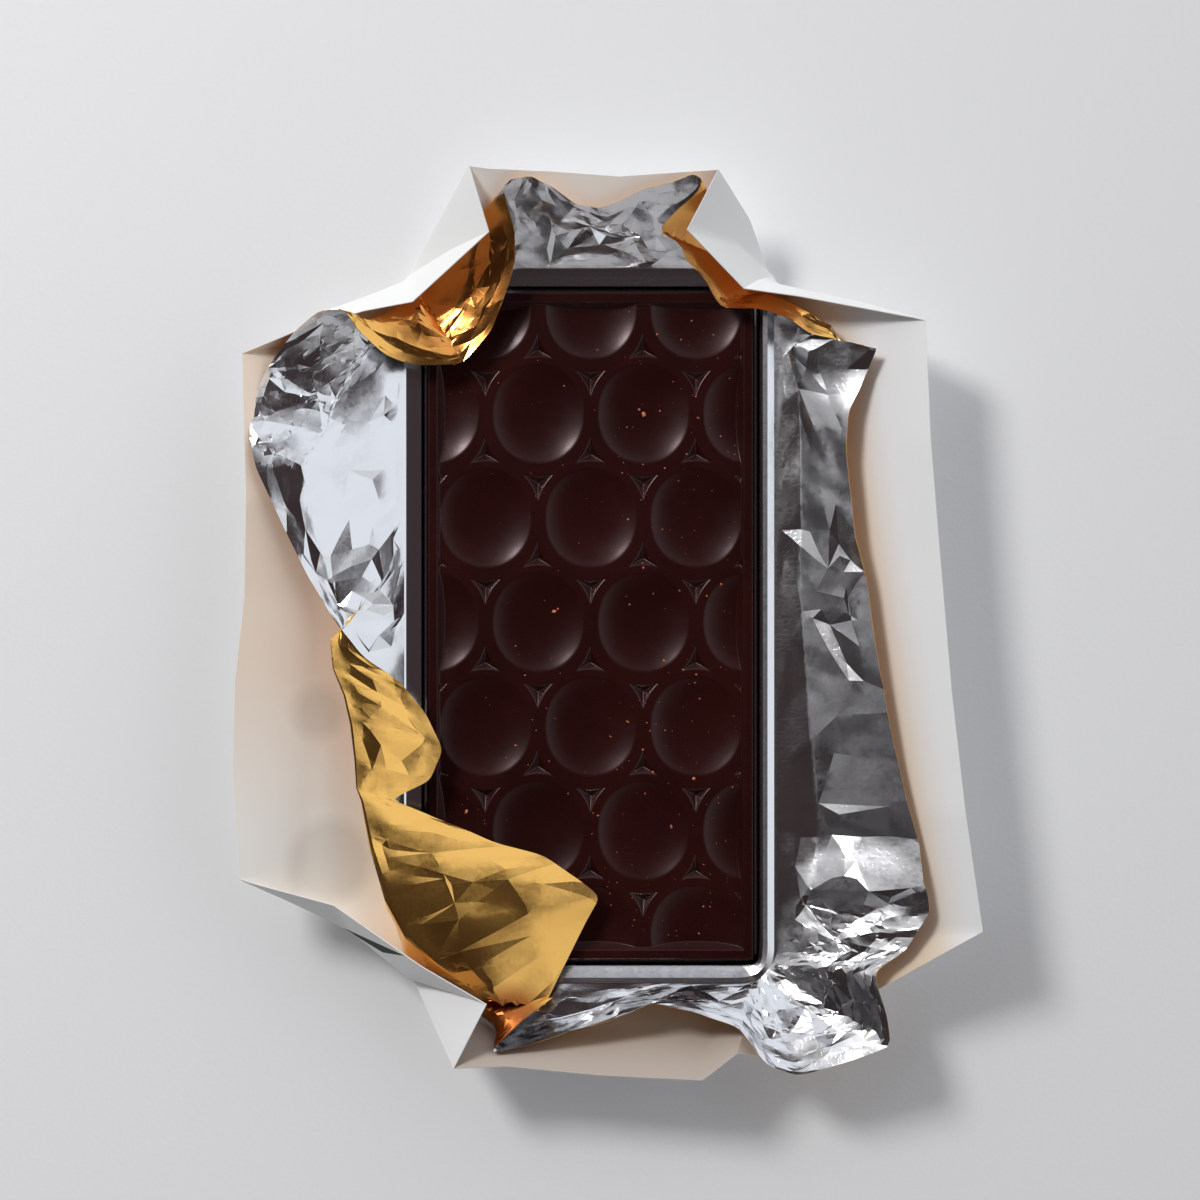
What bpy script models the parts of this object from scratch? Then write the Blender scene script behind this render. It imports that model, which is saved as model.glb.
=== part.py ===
# A dark chocolate bar lying in its opened pack: an inner foil and an outer paper.
# Lengths are in millimetres until an object is made, +Z is up, and the origin is
# under the middle of the bar, on the surface that the pack lies on.

import math
import random

import bmesh
import bpy
from mathutils import Matrix, Vector

MM = 0.001

# The bar, moulded with a raised frame round a field of shallow round dishes.
BAR_WIDTH = 75.9
BAR_LENGTH = 154.0
BAR_HEIGHT = 8.0
BAR_DRAFT = 0.8
BAR_EDGE_ROUNDING = 0.35
FRAME_WIDTH = 2.1
FIELD_STEP = 0.8

DISH_PITCH_X = 24.1
DISH_PITCH_Y = 23.85
DISH_ROWS = 7
MIDDLE_ROW_Y = 0.9
DISH_HALF_X = 10.4
DISH_HALF_Y = 11.3
DISH_DEPTH = 1.4
DISH_STEEPNESS = 2.6
DISH_SIDES = 28
DISH_RINGS = (0.88, 0.7, 0.4)

PIT_REACH = 4.2
PIT_DEPTH = 1.6
PIT_BOW = 0.55
PIT_SIDE_POINTS = 3
# How far from a single dish to the next row a pit lies, for each way that pits point.
PIT_SHARE_DOWN = 0.668
PIT_SHARE_UP = 0.611
EDGE_KEEP = 0.25
CUTTER_LIFT = 0.45

# The two sheets. Their floors and the bar lie on each other with a small gap.
SHEET_THICKNESS = 0.3
SHEET_GAP = 0.3
PAPER_FLOOR = SHEET_THICKNESS
FOIL_FLOOR = PAPER_FLOOR + SHEET_GAP + SHEET_THICKNESS
BAR_FLOOR = FOIL_FLOOR + SHEET_GAP

FOIL_FOOT = (38.3, 77.35)
FOIL_CREASE = (42.6, 81.8)
FOIL_CREASE_HEIGHT = 8.8
PAPER_FOOT = (39.2, 78.3)
PAPER_CREASE = (43.6, 82.8)
PAPER_CREASE_HEIGHT = 7.6
FOOT_CORNER = 2.0
CREASE_CORNER = 8.0
FOLD_SHARE = 0.55
FOIL_ROWS = (0.2, 0.38, 0.55, 0.78, 1.0)
PAPER_ROWS = (0.3, 0.55, 0.8, 1.0)
FOIL_CRUMPLE = 0.45
PAPER_WAVE = 0.15

# Each line is one ray of a sheet: where it leaves the bar, counted in corners
# clockwise from the far left one, the point where it folds back, if it does,
# and the point of the cut edge. Points are x, y and height.
PAPER_RAYS = (
    # The far flap, and its fold over the far right corner.
    (0.0, None, (-27.0, 103.0, 22.0)),
    (0.08, (-29.0, 93.5, 16.5), (-22.5, 102.5, 21.5)),
    (0.35, (-10.5, 94.0, 16.8), (-8.0, 102.0, 20.5)),
    (0.62, (8.0, 94.0, 16.8), (6.5, 101.0, 20.0)),
    (0.92, (31.0, 94.0, 16.8), (24.5, 102.0, 21.5)),
    (0.985, (36.0, 92.0, 14.5), (28.5, 102.0, 23.0)),
    (0.995, (33.0, 86.5, 15.5), (21.5, 88.5, 24.0)),
    (1.005, (38.0, 78.5, 13.0), (34.5, 76.0, 18.0)),
    # The right flap.
    (1.03, (45.5, 77.0, 13.0), (47.0, 74.0, 20.0)),
    (1.1, (59.0, 74.0, 14.0), (75.0, 68.5, 22.0)),
    (1.25, (54.0, 41.5, 9.2), (76.0, 41.5, 23.0)),
    (1.4, (54.0, 17.0, 9.2), (78.0, 17.0, 23.0)),
    (1.58, (54.5, -13.5, 9.2), (80.5, -14.0, 24.0)),
    (1.76, (55.0, -42.5, 9.3), (83.5, -41.5, 25.0)),
    (1.94, (57.0, -71.0, 10.0), (87.5, -68.0, 24.0)),
    (1.985, None, (65.5, -81.5, 17.5)),
    (1.995, None, (45.5, -94.0, 12.0)),
    # The near flap, and its fold over the near left corner.
    (2.01, None, (38.5, -97.0, 16.0)),
    (2.05, None, (33.0, -96.0, 19.0)),
    (2.14, (28.0, -92.5, 10.0), (25.0, -101.5, 22.0)),
    (2.45, (3.0, -92.5, 10.0), (2.0, -100.5, 21.0)),
    (2.72, (-19.0, -92.0, 10.5), (-18.5, -98.5, 21.0)),
    (2.98, None, (-30.5, -99.0, 21.0)),
    (2.995, None, (-23.0, -84.0, 25.0)),
    (3.005, (-41.5, -80.0, 12.0), (-37.5, -76.0, 22.5)),
    # The left flap, whose near and far margins lean in.
    (3.05, (-54.5, -69.5, 12.0), (-57.5, -62.5, 20.0)),
    (3.12, (-66.0, -63.5, 13.0), (-78.5, -56.5, 22.0)),
    (3.27, (-63.0, -36.0, 13.5), (-80.0, -34.0, 22.0)),
    (3.42, (-63.0, -13.0, 13.5), (-79.5, -12.5, 22.0)),
    (3.55, (-62.0, 8.0, 13.0), (-77.5, 7.0, 21.0)),
    (3.7, (-62.0, 31.0, 13.5), (-77.0, 28.5, 22.0)),
    (3.9, (-66.0, 64.0, 11.5), (-78.5, 61.5, 17.5)),
    (3.95, (-59.0, 72.0, 12.5), (-66.0, 66.5, 18.0)),
    (3.985, (-47.0, 76.5, 11.0), (-51.0, 71.0, 17.5)),
    (3.992, (-40.0, 78.5, 12.0), (-40.0, 73.0, 18.0)),
    (3.997, (-31.5, 85.0, 16.0), (-22.5, 88.0, 24.0)),
)

FOIL_RAYS = (
    # The far flap, with two crests.
    (0.01, None, (-19.5, 97.5, 21.0)),
    (0.1, None, (-18.0, 100.0, 23.0)),
    (0.22, None, (-13.0, 100.5, 24.0)),
    (0.36, None, (-8.5, 98.5, 22.5)),
    (0.5, None, (-3.0, 95.0, 20.5)),
    (0.6, None, (1.5, 94.0, 19.5)),
    (0.7, None, (6.5, 95.5, 20.0)),
    (0.8, None, (12.0, 98.0, 21.5)),
    (0.89, None, (18.5, 99.0, 22.5)),
    (0.95, None, (23.0, 101.0, 24.5)),
    (0.975, (31.5, 88.5, 15.5), (25.0, 99.5, 24.5)),
    # The fold over the far right corner, gold side up.
    (0.98, (32.0, 86.5, 14.0), (24.0, 97.0, 22.5)),
    (0.985, None, (19.5, 93.5, 20.0)),
    (0.99, None, (15.0, 89.0, 18.0)),
    (0.995, None, (20.5, 86.5, 17.0)),
    (1.0, None, (21.5, 82.5, 16.0)),
    (1.003, None, (25.5, 79.5, 14.5)),
    (1.006, None, (29.5, 72.0, 13.5)),
    (1.01, (40.0, 75.5, 12.0), (38.0, 72.0, 14.5)),
    (1.02, (45.0, 73.5, 14.5), (45.0, 69.5, 16.5)),
    (1.04, (50.0, 70.5, 16.5), (49.5, 66.0, 17.5)),
    (1.06, (55.0, 68.5, 16.5), (57.0, 65.0, 17.5)),
    (1.08, None, (65.5, 63.0, 18.5)),
    # The right flap.
    (1.13, (46.5, 64.0, 11.0), (62.0, 56.5, 18.5)),
    (1.2, (47.5, 53.5, 11.0), (58.0, 48.5, 19.5)),
    (1.27, (48.0, 42.5, 10.5), (57.5, 39.5, 19.0)),
    (1.36, (48.0, 24.0, 10.5), (59.5, 20.5, 19.5)),
    (1.45, (48.0, 8.0, 10.5), (62.0, 10.5, 20.0)),
    (1.56, (49.0, -10.0, 10.5), (65.0, -10.5, 21.0)),
    (1.68, (50.5, -30.5, 10.5), (68.5, -29.0, 21.5)),
    (1.8, (51.5, -51.0, 11.0), (73.5, -49.5, 22.5)),
    (1.9, (49.0, -63.5, 11.0), (76.0, -63.5, 23.0)),
    (1.96, None, (70.5, -72.5, 22.0)),
    # The near right corner, spread out past the paper.
    (1.98, None, (63.5, -77.5, 21.0)),
    (1.985, None, (66.5, -87.0, 21.5)),
    (1.99, None, (67.5, -94.0, 21.5)),
    (2.0, None, (58.5, -97.5, 20.5)),
    (2.01, None, (46.5, -101.0, 20.0)),
    (2.03, None, (39.5, -98.5, 19.5)),
    (2.06, None, (33.5, -90.0, 19.5)),
    # The near flap.
    (2.12, None, (25.0, -87.0, 20.0)),
    (2.22, None, (13.5, -84.5, 19.5)),
    (2.35, (6.0, -85.5, 10.0), (5.5, -88.0, 18.5)),
    (2.48, (0.0, -87.5, 10.5), (-0.5, -90.0, 18.5)),
    (2.62, (-7.5, -89.5, 10.8), (-8.0, -92.5, 18.5)),
    (2.85, (-20.0, -91.5, 12.0), (-22.5, -96.0, 19.0)),
    (2.96, None, (-16.0, -89.5, 17.0)),
    (2.975, None, (-8.0, -84.0, 14.0)),
    # The near left corner and side, turned back over the bar, gold side up.
    (2.985, (-23.5, -84.5, 17.5), (-11.0, -87.0, 13.5)),
    (2.99, (-28.0, -80.5, 18.5), (-6.0, -77.0, 12.0)),
    (3.0, (-35.0, -75.5, 20.0), (-1.0, -67.0, 11.0)),
    (3.02, (-41.5, -69.5, 21.0), (2.0, -61.5, 11.0)),
    (3.06, (-46.0, -61.0, 22.0), (-10.5, -52.5, 11.5)),
    (3.12, (-49.5, -49.5, 22.0), (-22.0, -49.0, 13.0)),
    (3.19, (-51.5, -39.0, 21.5), (-33.0, -44.5, 14.0)),
    (3.25, (-52.5, -36.0, 21.5), (-45.0, -39.0, 18.0)),
    (3.31, (-53.0, -30.0, 21.5), (-36.5, -35.0, 14.5)),
    (3.38, (-54.0, -22.0, 21.5), (-33.5, -28.0, 14.0)),
    (3.46, (-55.5, -15.5, 21.0), (-37.5, -19.5, 14.5)),
    (3.52, (-58.0, -9.5, 20.5), (-43.0, -12.5, 16.5)),
    (3.58, (-58.5, -3.0, 20.0), (-51.5, -6.5, 18.5)),
    # The left flap, which rises to a long crease and then levels out.
    (3.62, (-54.5, 0.5, 17.5), (-59.0, 4.0, 20.0)),
    (3.68, (-59.5, 14.0, 19.0), (-65.0, 14.5, 21.0)),
    (3.74, (-64.5, 28.5, 20.5), (-71.5, 28.5, 22.5)),
    (3.79, (-64.5, 36.0, 20.5), (-75.0, 36.0, 22.5)),
    (3.83, (-60.0, 44.0, 16.5), (-76.5, 44.0, 20.5)),
    (3.88, (-57.5, 52.5, 13.5), (-75.0, 53.0, 18.5)),
    (3.92, (-54.0, 58.5, 13.0), (-72.0, 58.5, 18.5)),
    (3.95, (-51.0, 63.0, 13.0), (-66.0, 65.5, 20.0)),
    (3.965, (-49.5, 65.5, 13.0), (-61.0, 70.0, 21.0)),
    (3.975, (-47.5, 68.0, 14.5), (-55.5, 71.0, 22.0)),
    # The fold over the far left corner, gold side up.
    (3.98, (-46.0, 71.5, 13.5), (-52.0, 66.5, 19.5)),
    (3.984, (-41.5, 73.5, 13.0), (-46.0, 61.0, 17.0)),
    (3.988, (-38.5, 73.0, 14.0), (-39.5, 59.0, 15.0)),
    (3.992, None, (-29.0, 59.5, 13.5)),
    (3.995, None, (-22.5, 67.0, 14.0)),
    (3.998, None, (-18.5, 77.0, 15.5)),
    (4.0, None, (-17.0, 82.5, 16.5)),
    (4.003, None, (-17.0, 89.0, 18.5)),
)


def clear_scene():
    for obj in list(bpy.data.objects):
        bpy.data.objects.remove(obj, do_unlink=True)


def make_collection(name, hidden=False):
    collection = bpy.data.collections.new(name)
    bpy.context.scene.collection.children.link(collection)
    collection.hide_render = hidden
    return collection


def make_material(name, colour, roughness, metallic=0.0):
    material = bpy.data.materials.new(name)
    material.use_nodes = True
    shader = material.node_tree.nodes["Principled BSDF"]
    shader.inputs["Base Color"].default_value = (*colour, 1.0)
    shader.inputs["Roughness"].default_value = roughness
    shader.inputs["Metallic"].default_value = metallic
    return material


def make_object(name, shape, collection, material=None):
    """An object in metres from a shape in millimetres."""
    shape.transform(Matrix.Scale(MM, 4))
    mesh = bpy.data.meshes.new(name)
    shape.to_mesh(mesh)
    shape.free()
    obj = bpy.data.objects.new(name, mesh)
    collection.objects.link(obj)
    if material:
        mesh.materials.append(material)
    else:
        obj.hide_render = True
        obj.display_type = "WIRE"
    return obj


def add_cut(body, cutter):
    cut = body.modifiers.new(cutter.name, "BOOLEAN")
    cut.operation = "DIFFERENCE"
    cut.object = cutter


# The chocolate bar

def bar_slab():
    """The plain moulded block, a little smaller at the top than at the bottom."""
    shape = bmesh.new()
    bmesh.ops.create_cube(shape, size=1.0)
    for corner in shape.verts:
        draft = BAR_DRAFT if corner.co.z > 0 else 0.0
        corner.co.x *= BAR_WIDTH - 2 * draft
        corner.co.y *= BAR_LENGTH - 2 * draft
        corner.co.z = BAR_FLOOR + (BAR_HEIGHT if corner.co.z > 0 else 0.0)
    return shape


def field_half():
    inset = BAR_DRAFT + FRAME_WIDTH
    return BAR_WIDTH / 2 - inset, BAR_LENGTH / 2 - inset


def field_height():
    return BAR_FLOOR + BAR_HEIGHT - FIELD_STEP


def field_cutter():
    half_x, half_y = field_half()
    shape = bmesh.new()
    bmesh.ops.create_cube(shape, size=2.0)
    for corner in shape.verts:
        flare = FIELD_STEP / 2 if corner.co.z > 0 else 0.0
        corner.co.x *= half_x + flare
        corner.co.y *= half_y + flare
        corner.co.z = field_height() + (2 * FIELD_STEP if corner.co.z > 0 else 0.0)
    return shape


def dish_mesh(collection):
    """One dish of unit radius, turned from its profile, as a mesh to copy."""
    profile = bmesh.new()
    points = [(0.0, CUTTER_LIFT), (1.0, CUTTER_LIFT), (1.0, 0.0)]
    points += [(r, -DISH_DEPTH * (1 - r**DISH_STEEPNESS)) for r in DISH_RINGS]
    points.append((0.0, -DISH_DEPTH))
    rim = [profile.verts.new((x, 0.0, z)) for x, z in points]
    for first, second in zip(rim, rim[1:]):
        profile.edges.new((first, second))
    mesh = bpy.data.meshes.new("dish_profile")
    profile.to_mesh(mesh)
    profile.free()
    guide = bpy.data.objects.new("dish_profile", mesh)
    guide.hide_render = True
    guide.display_type = "WIRE"
    collection.objects.link(guide)
    turn = guide.modifiers.new("turn", "SCREW")
    turn.steps = DISH_SIDES
    turn.render_steps = DISH_SIDES
    turn.use_merge_vertices = True
    turn.merge_threshold = 0.0001
    bpy.context.view_layer.update()
    graph = bpy.context.evaluated_depsgraph_get()
    turned = bpy.data.meshes.new_from_object(guide.evaluated_get(graph))
    bpy.data.objects.remove(guide, do_unlink=True)
    return turned


def row_height(row):
    return MIDDLE_ROW_Y + ((DISH_ROWS - 1) / 2 - row) * DISH_PITCH_Y


def dish_places():
    """Rows of three whole dishes alternate with rows of two and two halves."""
    for row in range(DISH_ROWS):
        count = 4 if row % 2 else 3
        for column in range(count):
            yield (column - (count - 1) / 2) * DISH_PITCH_X, row_height(row)


def pit_outline(x, y, points_down):
    """A three-cornered outline, its sides bowed inwards."""
    way = 1 if points_down else -1
    middle = Vector((x, y))
    corners = []
    for turn in (90, 210, 330):
        angle = math.radians(turn)
        corner = Vector((math.cos(angle), -way * math.sin(angle))) * PIT_REACH
        corners.append(middle + corner)
    outline = []
    for corner, following in zip(corners, corners[1:] + corners[:1]):
        inwards = (middle - (corner + following) / 2).normalized()
        for step in range(PIT_SIDE_POINTS + 1):
            share = step / (PIT_SIDE_POINTS + 1)
            bow = 4 * share * (1 - share) * PIT_BOW
            outline.append(corner.lerp(following, share) + inwards * bow)
    return outline


def pit_shape(x, y, points_down):
    shape = bmesh.new()
    outline = pit_outline(x, y, points_down)
    upper = [shape.verts.new((*point, CUTTER_LIFT)) for point in outline]
    lower = [shape.verts.new((*point, 0.0)) for point in outline]
    bottom = shape.verts.new((x, y, -PIT_DEPTH))
    shape.faces.new(upper)
    for index, point in enumerate(lower):
        other = (index + 1) % len(lower)
        shape.faces.new((upper[index], point, lower[other], upper[other]))
        shape.faces.new((point, bottom, lower[other]))
    bmesh.ops.recalc_face_normals(shape, faces=shape.faces)
    return shape


def trim_to_field(shape):
    """Cuts off and closes what would reach into the frame."""
    half_x, half_y = field_half()
    for axis, half in ((Vector((1, 0, 0)), half_x), (Vector((0, 1, 0)), half_y)):
        for way in (1, -1):
            parts = shape.verts[:] + shape.edges[:] + shape.faces[:]
            place = axis * way * (half - EDGE_KEEP)
            bmesh.ops.bisect_plane(
                shape, geom=parts, plane_co=place, plane_no=axis * way, clear_outer=True
            )
            open_edges = [edge for edge in shape.edges if edge.is_boundary]
            if open_edges:
                bmesh.ops.holes_fill(shape, edges=open_edges, sides=0)


def join_shapes(shapes):
    """One shape that holds them all, with its base on the field."""
    whole = bmesh.new()
    for shape in shapes:
        trim_to_field(shape)
        part = bpy.data.meshes.new("part")
        shape.to_mesh(part)
        shape.free()
        whole.from_mesh(part)
        bpy.data.meshes.remove(part)
    whole.transform(Matrix.Translation((0, 0, field_height())))
    bmesh.ops.recalc_face_normals(whole, faces=whole.faces)
    return whole


def dish_shapes(collection):
    turned = dish_mesh(collection)
    for x, y in dish_places():
        shape = bmesh.new()
        shape.from_mesh(turned)
        shape.transform(
            Matrix.Translation((x, y, 0)) @ Matrix.Diagonal((DISH_HALF_X, DISH_HALF_Y, 1, 1))
        )
        yield shape
    bpy.data.meshes.remove(turned)


def pit_shapes():
    for row in range(DISH_ROWS - 1):
        for column in range(-3, 4):
            points_down = (column + row) % 2 == 0
            x = column * DISH_PITCH_X / 2
            drop = PIT_SHARE_DOWN if points_down else 1 - PIT_SHARE_UP
            yield pit_shape(x, row_height(row) - drop * DISH_PITCH_Y, points_down)


def make_bar(parts, cutters):
    chocolate = make_material("dark chocolate", (0.027, 0.009, 0.007), 0.34)
    bar = make_object("chocolate_bar", bar_slab(), parts, chocolate)
    rounding = bar.modifiers.new("rounding", "BEVEL")
    rounding.width = BAR_EDGE_ROUNDING * MM
    rounding.segments = 1
    add_cut(bar, make_object("field", field_cutter(), cutters))
    add_cut(bar, make_object("dishes", join_shapes(dish_shapes(cutters)), cutters))
    add_cut(bar, make_object("pits", join_shapes(pit_shapes()), cutters))
    return bar


# The foil and the paper

def around_bar(turn, half, corner):
    """A point on a rounded rectangle, clockwise, with the corners at whole turns."""
    side = int(turn) % 4
    along = turn - int(turn)
    start = ((-1, 1), (1, 1), (1, -1), (-1, -1))[side]
    way = ((1, 0), (0, -1), (-1, 0), (0, 1))[side]
    length = 2 * half[0] if side % 2 == 0 else 2 * half[1]
    x = start[0] * half[0] + way[0] * along * length
    y = start[1] * half[1] + way[1] * along * length
    away = min(along, 1 - along) * length
    if away < corner:
        angle = math.radians(45) * away / corner
        near = corner * (1 - math.cos(math.radians(45) - angle))
        far = corner * (1 - math.sin(math.radians(45) - angle))
        across, beside = (far, near) if side % 2 == 0 else (near, far)
        x = math.copysign(half[0] - across, x)
        y = math.copysign(half[1] - beside, y)
    return x, y


def ray_point(crease, fold, edge, share):
    if fold is None:
        return crease.lerp(edge, share)
    if share <= FOLD_SHARE:
        return crease.lerp(fold, share / FOLD_SHARE)
    return fold.lerp(edge, (share - FOLD_SHARE) / (1 - FOLD_SHARE))


def sheet_shape(rays, foot, crease, levels, rows, relief, seed):
    """An open sheet: a floor under the bar, a low wall round it, and flaps beyond."""
    floor_height, crease_height = levels
    chance = random.Random(seed)
    shape = bmesh.new()
    rings = [[] for _ in range(len(rows) + 2)]
    for turn, fold, edge in rays:
        low = Vector((*around_bar(turn, foot, FOOT_CORNER), floor_height))
        high = Vector((*around_bar(turn, crease, CREASE_CORNER), crease_height))
        fold = Vector(fold) if fold else None
        rings[0].append(shape.verts.new(low))
        rings[1].append(shape.verts.new(high))
        for ring, share in zip(rings[2:], rows):
            point = ray_point(high, fold, Vector(edge), share)
            if share < 1:
                point.z += chance.uniform(-relief, relief)
            ring.append(shape.verts.new(point))
    for inner, outer in zip(rings, rings[1:]):
        for index in range(len(inner)):
            after = (index + 1) % len(inner)
            shape.faces.new((inner[index], inner[after], outer[after], outer[index]))
    shape.faces.new(reversed(rings[0]))
    return shape


def thicken(sheet):
    """Gives the sheet its wall, which grows away from the bar."""
    wall = sheet.modifiers.new("wall", "SOLIDIFY")
    wall.thickness = SHEET_THICKNESS * MM
    wall.offset = -1.0


def make_foil(parts):
    silver = make_material("foil", (0.72, 0.74, 0.78), 0.28, 1.0)
    shape = sheet_shape(
        FOIL_RAYS, FOIL_FOOT, FOIL_CREASE, (FOIL_FLOOR, FOIL_CREASE_HEIGHT),
        FOIL_ROWS, FOIL_CRUMPLE, seed=11,
    )
    foil = make_object("foil_wrapper", shape, parts, silver)
    thicken(foil)


def make_paper(parts):
    white = make_material("wrapping paper", (0.78, 0.76, 0.73), 0.7)
    shape = sheet_shape(
        PAPER_RAYS, PAPER_FOOT, PAPER_CREASE, (PAPER_FLOOR, PAPER_CREASE_HEIGHT),
        PAPER_ROWS, PAPER_WAVE, seed=5,
    )
    paper = make_object("paper_wrapper", shape, parts, white)
    thicken(paper)


clear_scene()
pack = make_collection("Chocolate Bar")
tools = make_collection("Cutters", hidden=True)
make_bar(pack, tools)
make_foil(pack)
make_paper(pack)
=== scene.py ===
"""Looks of a dark chocolate bar that lies in its opened foil and paper pack."""

import math
import random

import bmesh
import bpy
import numpy as np
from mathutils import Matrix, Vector
from mathutils.geometry import delaunay_2d_cdt


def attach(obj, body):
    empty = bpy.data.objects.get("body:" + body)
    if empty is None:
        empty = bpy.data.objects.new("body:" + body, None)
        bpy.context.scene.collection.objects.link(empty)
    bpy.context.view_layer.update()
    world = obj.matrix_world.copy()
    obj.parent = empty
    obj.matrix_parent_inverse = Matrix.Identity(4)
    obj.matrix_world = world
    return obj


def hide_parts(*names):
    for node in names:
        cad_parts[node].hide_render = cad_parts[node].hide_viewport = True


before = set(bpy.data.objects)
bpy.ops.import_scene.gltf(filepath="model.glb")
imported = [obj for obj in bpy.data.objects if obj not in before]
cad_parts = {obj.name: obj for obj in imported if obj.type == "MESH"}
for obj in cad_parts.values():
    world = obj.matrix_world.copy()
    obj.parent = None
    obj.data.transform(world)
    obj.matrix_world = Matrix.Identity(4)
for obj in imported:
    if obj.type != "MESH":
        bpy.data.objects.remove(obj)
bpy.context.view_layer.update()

# The camera hangs straight above the bar. One soft lamp lights it from the far left. The
# room is dark overhead and to the near left, and brightest low down to the far right.
MM = 0.001
CAMERA_PLACE = (0.00217, 0.00594, 0.62)
CAMERA_LENS = 80.2
LAMP_WAY = Vector((-0.517, 0.517, 0.682))
LAMP_DISTANCE = 1.3
LAMP_SIZE = 0.32
LAMP_POWER = 8.6

bpy.ops.object.camera_add(location=CAMERA_PLACE, rotation=(0, 0, 0))
camera = bpy.context.object
camera.data.lens = CAMERA_LENS
camera.data.sensor_width = 36.0
camera.data.clip_start = 0.01
bpy.context.scene.camera = camera
bpy.context.scene.view_settings.view_transform = "Standard"

bpy.ops.object.light_add(type="AREA", location=LAMP_WAY * LAMP_DISTANCE)
lamp = bpy.context.object
lamp.rotation_euler = LAMP_WAY.to_track_quat("Z", "Y").to_euler()
lamp.data.shape = "DISK"
lamp.data.size = LAMP_SIZE
lamp.data.energy = LAMP_POWER

room = bpy.data.worlds.new("room")
bpy.context.scene.world = room
room.use_nodes = True
nodes, links = room.node_tree.nodes, room.node_tree.links
nodes.clear()
way = nodes.new("ShaderNodeTexCoord")
split = nodes.new("ShaderNodeSeparateXYZ")
links.new(way.outputs["Generated"], split.inputs[0])


def ramp(nodes, links, source, *stops):
    """Turns a value into a colour or value between stops, given as (place, colour)."""
    band = nodes.new("ShaderNodeValToRGB")
    elements = band.color_ramp.elements
    elements[0].position, elements[-1].position = stops[0][0], stops[-1][0]
    for place, _ in stops[1:-1]:
        elements.new(place)
    for stop, (_, colour) in zip(elements, stops):
        stop.color = (*colour, 1) if len(colour) == 3 else (colour[0],) * 3 + (1,)
    links.new(source, band.inputs[0])
    return band.outputs[0]


def measure(nodes, links, source, operation, value):
    """A vector or number worked with a fixed or a linked one, as a number."""
    vector = operation in ("DOT_PRODUCT", "DISTANCE")
    node = nodes.new("ShaderNodeVectorMath" if vector else "ShaderNodeMath")
    node.operation = operation
    links.new(source, node.inputs[0])
    if isinstance(value, bpy.types.NodeSocket):
        links.new(value, node.inputs[1])
    else:
        node.inputs[1].default_value = value
    return node.outputs["Value"]


def facing(direction):
    """How far a view into the room goes along a direction, from 0 to 1."""
    half = Vector(direction).normalized() * 0.5
    along = measure(nodes, links, way.outputs["Generated"], "DOT_PRODUCT", half)
    return measure(nodes, links, along, "ADD", 0.5)


def blend_colours(mode, first, second):
    blend = nodes.new("ShaderNodeMixRGB")
    blend.blend_type = mode
    blend.inputs[0].default_value = 1.0
    links.new(first, blend.inputs[1])
    links.new(second, blend.inputs[2])
    return blend.outputs[0]


height = ramp(
    nodes, links, facing((-0.2, -0.04, 1)),
    (0.5, (0.92, 0.92, 0.92)), (0.78, (1, 1, 1)), (0.9, (0.03, 0.022, 0.022)),
)
walls = ramp(
    nodes, links, facing((0.72, 0.6, 0.36)),
    (0.15, (0.035, 0.033, 0.034)), (0.195, (0.08, 0.077, 0.08)), (0.25, (0.38, 0.37, 0.38)),
    (0.31, (0.48, 0.475, 0.48)), (0.45, (0.48, 0.48, 0.49)), (0.65, (0.66, 0.67, 0.68)),
    (0.9, (0.93, 0.97, 1.02)),
)
near_lamp = ramp(nodes, links, facing(LAMP_WAY), (0.94, (0,)), (1.0, (0.8,)))
ceiling = ramp(
    nodes, links, split.outputs["Z"], (0.6, (0, 0, 0)), (0.85, (0.015, 0.008, 0.008))
)
light = blend_colours("MULTIPLY", height, walls)
light = blend_colours("ADD", blend_colours("ADD", light, near_lamp), ceiling)
air = nodes.new("ShaderNodeBackground")
links.new(light, air.inputs["Color"])
outlet = nodes.new("ShaderNodeOutputWorld")
links.new(air.outputs[0], outlet.inputs[0])


# The table is plain, pale and matt, with a fine grain. It isn't part of the object and
# is only there to take the shadows.
TABLE_SIZE = 6


def principled(name, colour, roughness, metallic=0.0):
    """A new material, its nodes, its links and its shader."""
    material = bpy.data.materials.new(name)
    material.use_nodes = True
    tree = material.node_tree
    shader = tree.nodes["Principled BSDF"]
    shader.inputs["Base Color"].default_value = (*colour, 1)
    shader.inputs["Roughness"].default_value = roughness
    shader.inputs["Metallic"].default_value = metallic
    return material, tree.nodes, tree.links, shader


def noise(nodes, links, scale, detail=3.0, roughness=0.5):
    """A noise pattern that lies still on the piece, `scale` to the metre."""
    place = nodes.new("ShaderNodeTexCoord")
    pattern = nodes.new("ShaderNodeTexNoise")
    pattern.inputs["Scale"].default_value = scale
    pattern.inputs["Detail"].default_value = detail
    pattern.inputs["Roughness"].default_value = roughness
    links.new(place.outputs["Object"], pattern.inputs["Vector"])
    return pattern


def add_bump(nodes, links, shader, height, distance, strength):
    bump = nodes.new("ShaderNodeBump")
    bump.inputs["Strength"].default_value = strength
    bump.inputs["Distance"].default_value = distance
    links.new(height, bump.inputs["Height"])
    links.new(bump.outputs["Normal"], shader.inputs["Normal"])


bpy.ops.mesh.primitive_plane_add(size=TABLE_SIZE)
table = bpy.context.object
table.name = "table"
pale, nodes, links, shader = principled("pale table", (0.9, 0.9, 0.905), 0.7)
grain = noise(nodes, links, 900, 4)
add_bump(nodes, links, shader, grain.outputs["Fac"], 0.0001, 0.5)
table.data.materials.append(pale)


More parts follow.
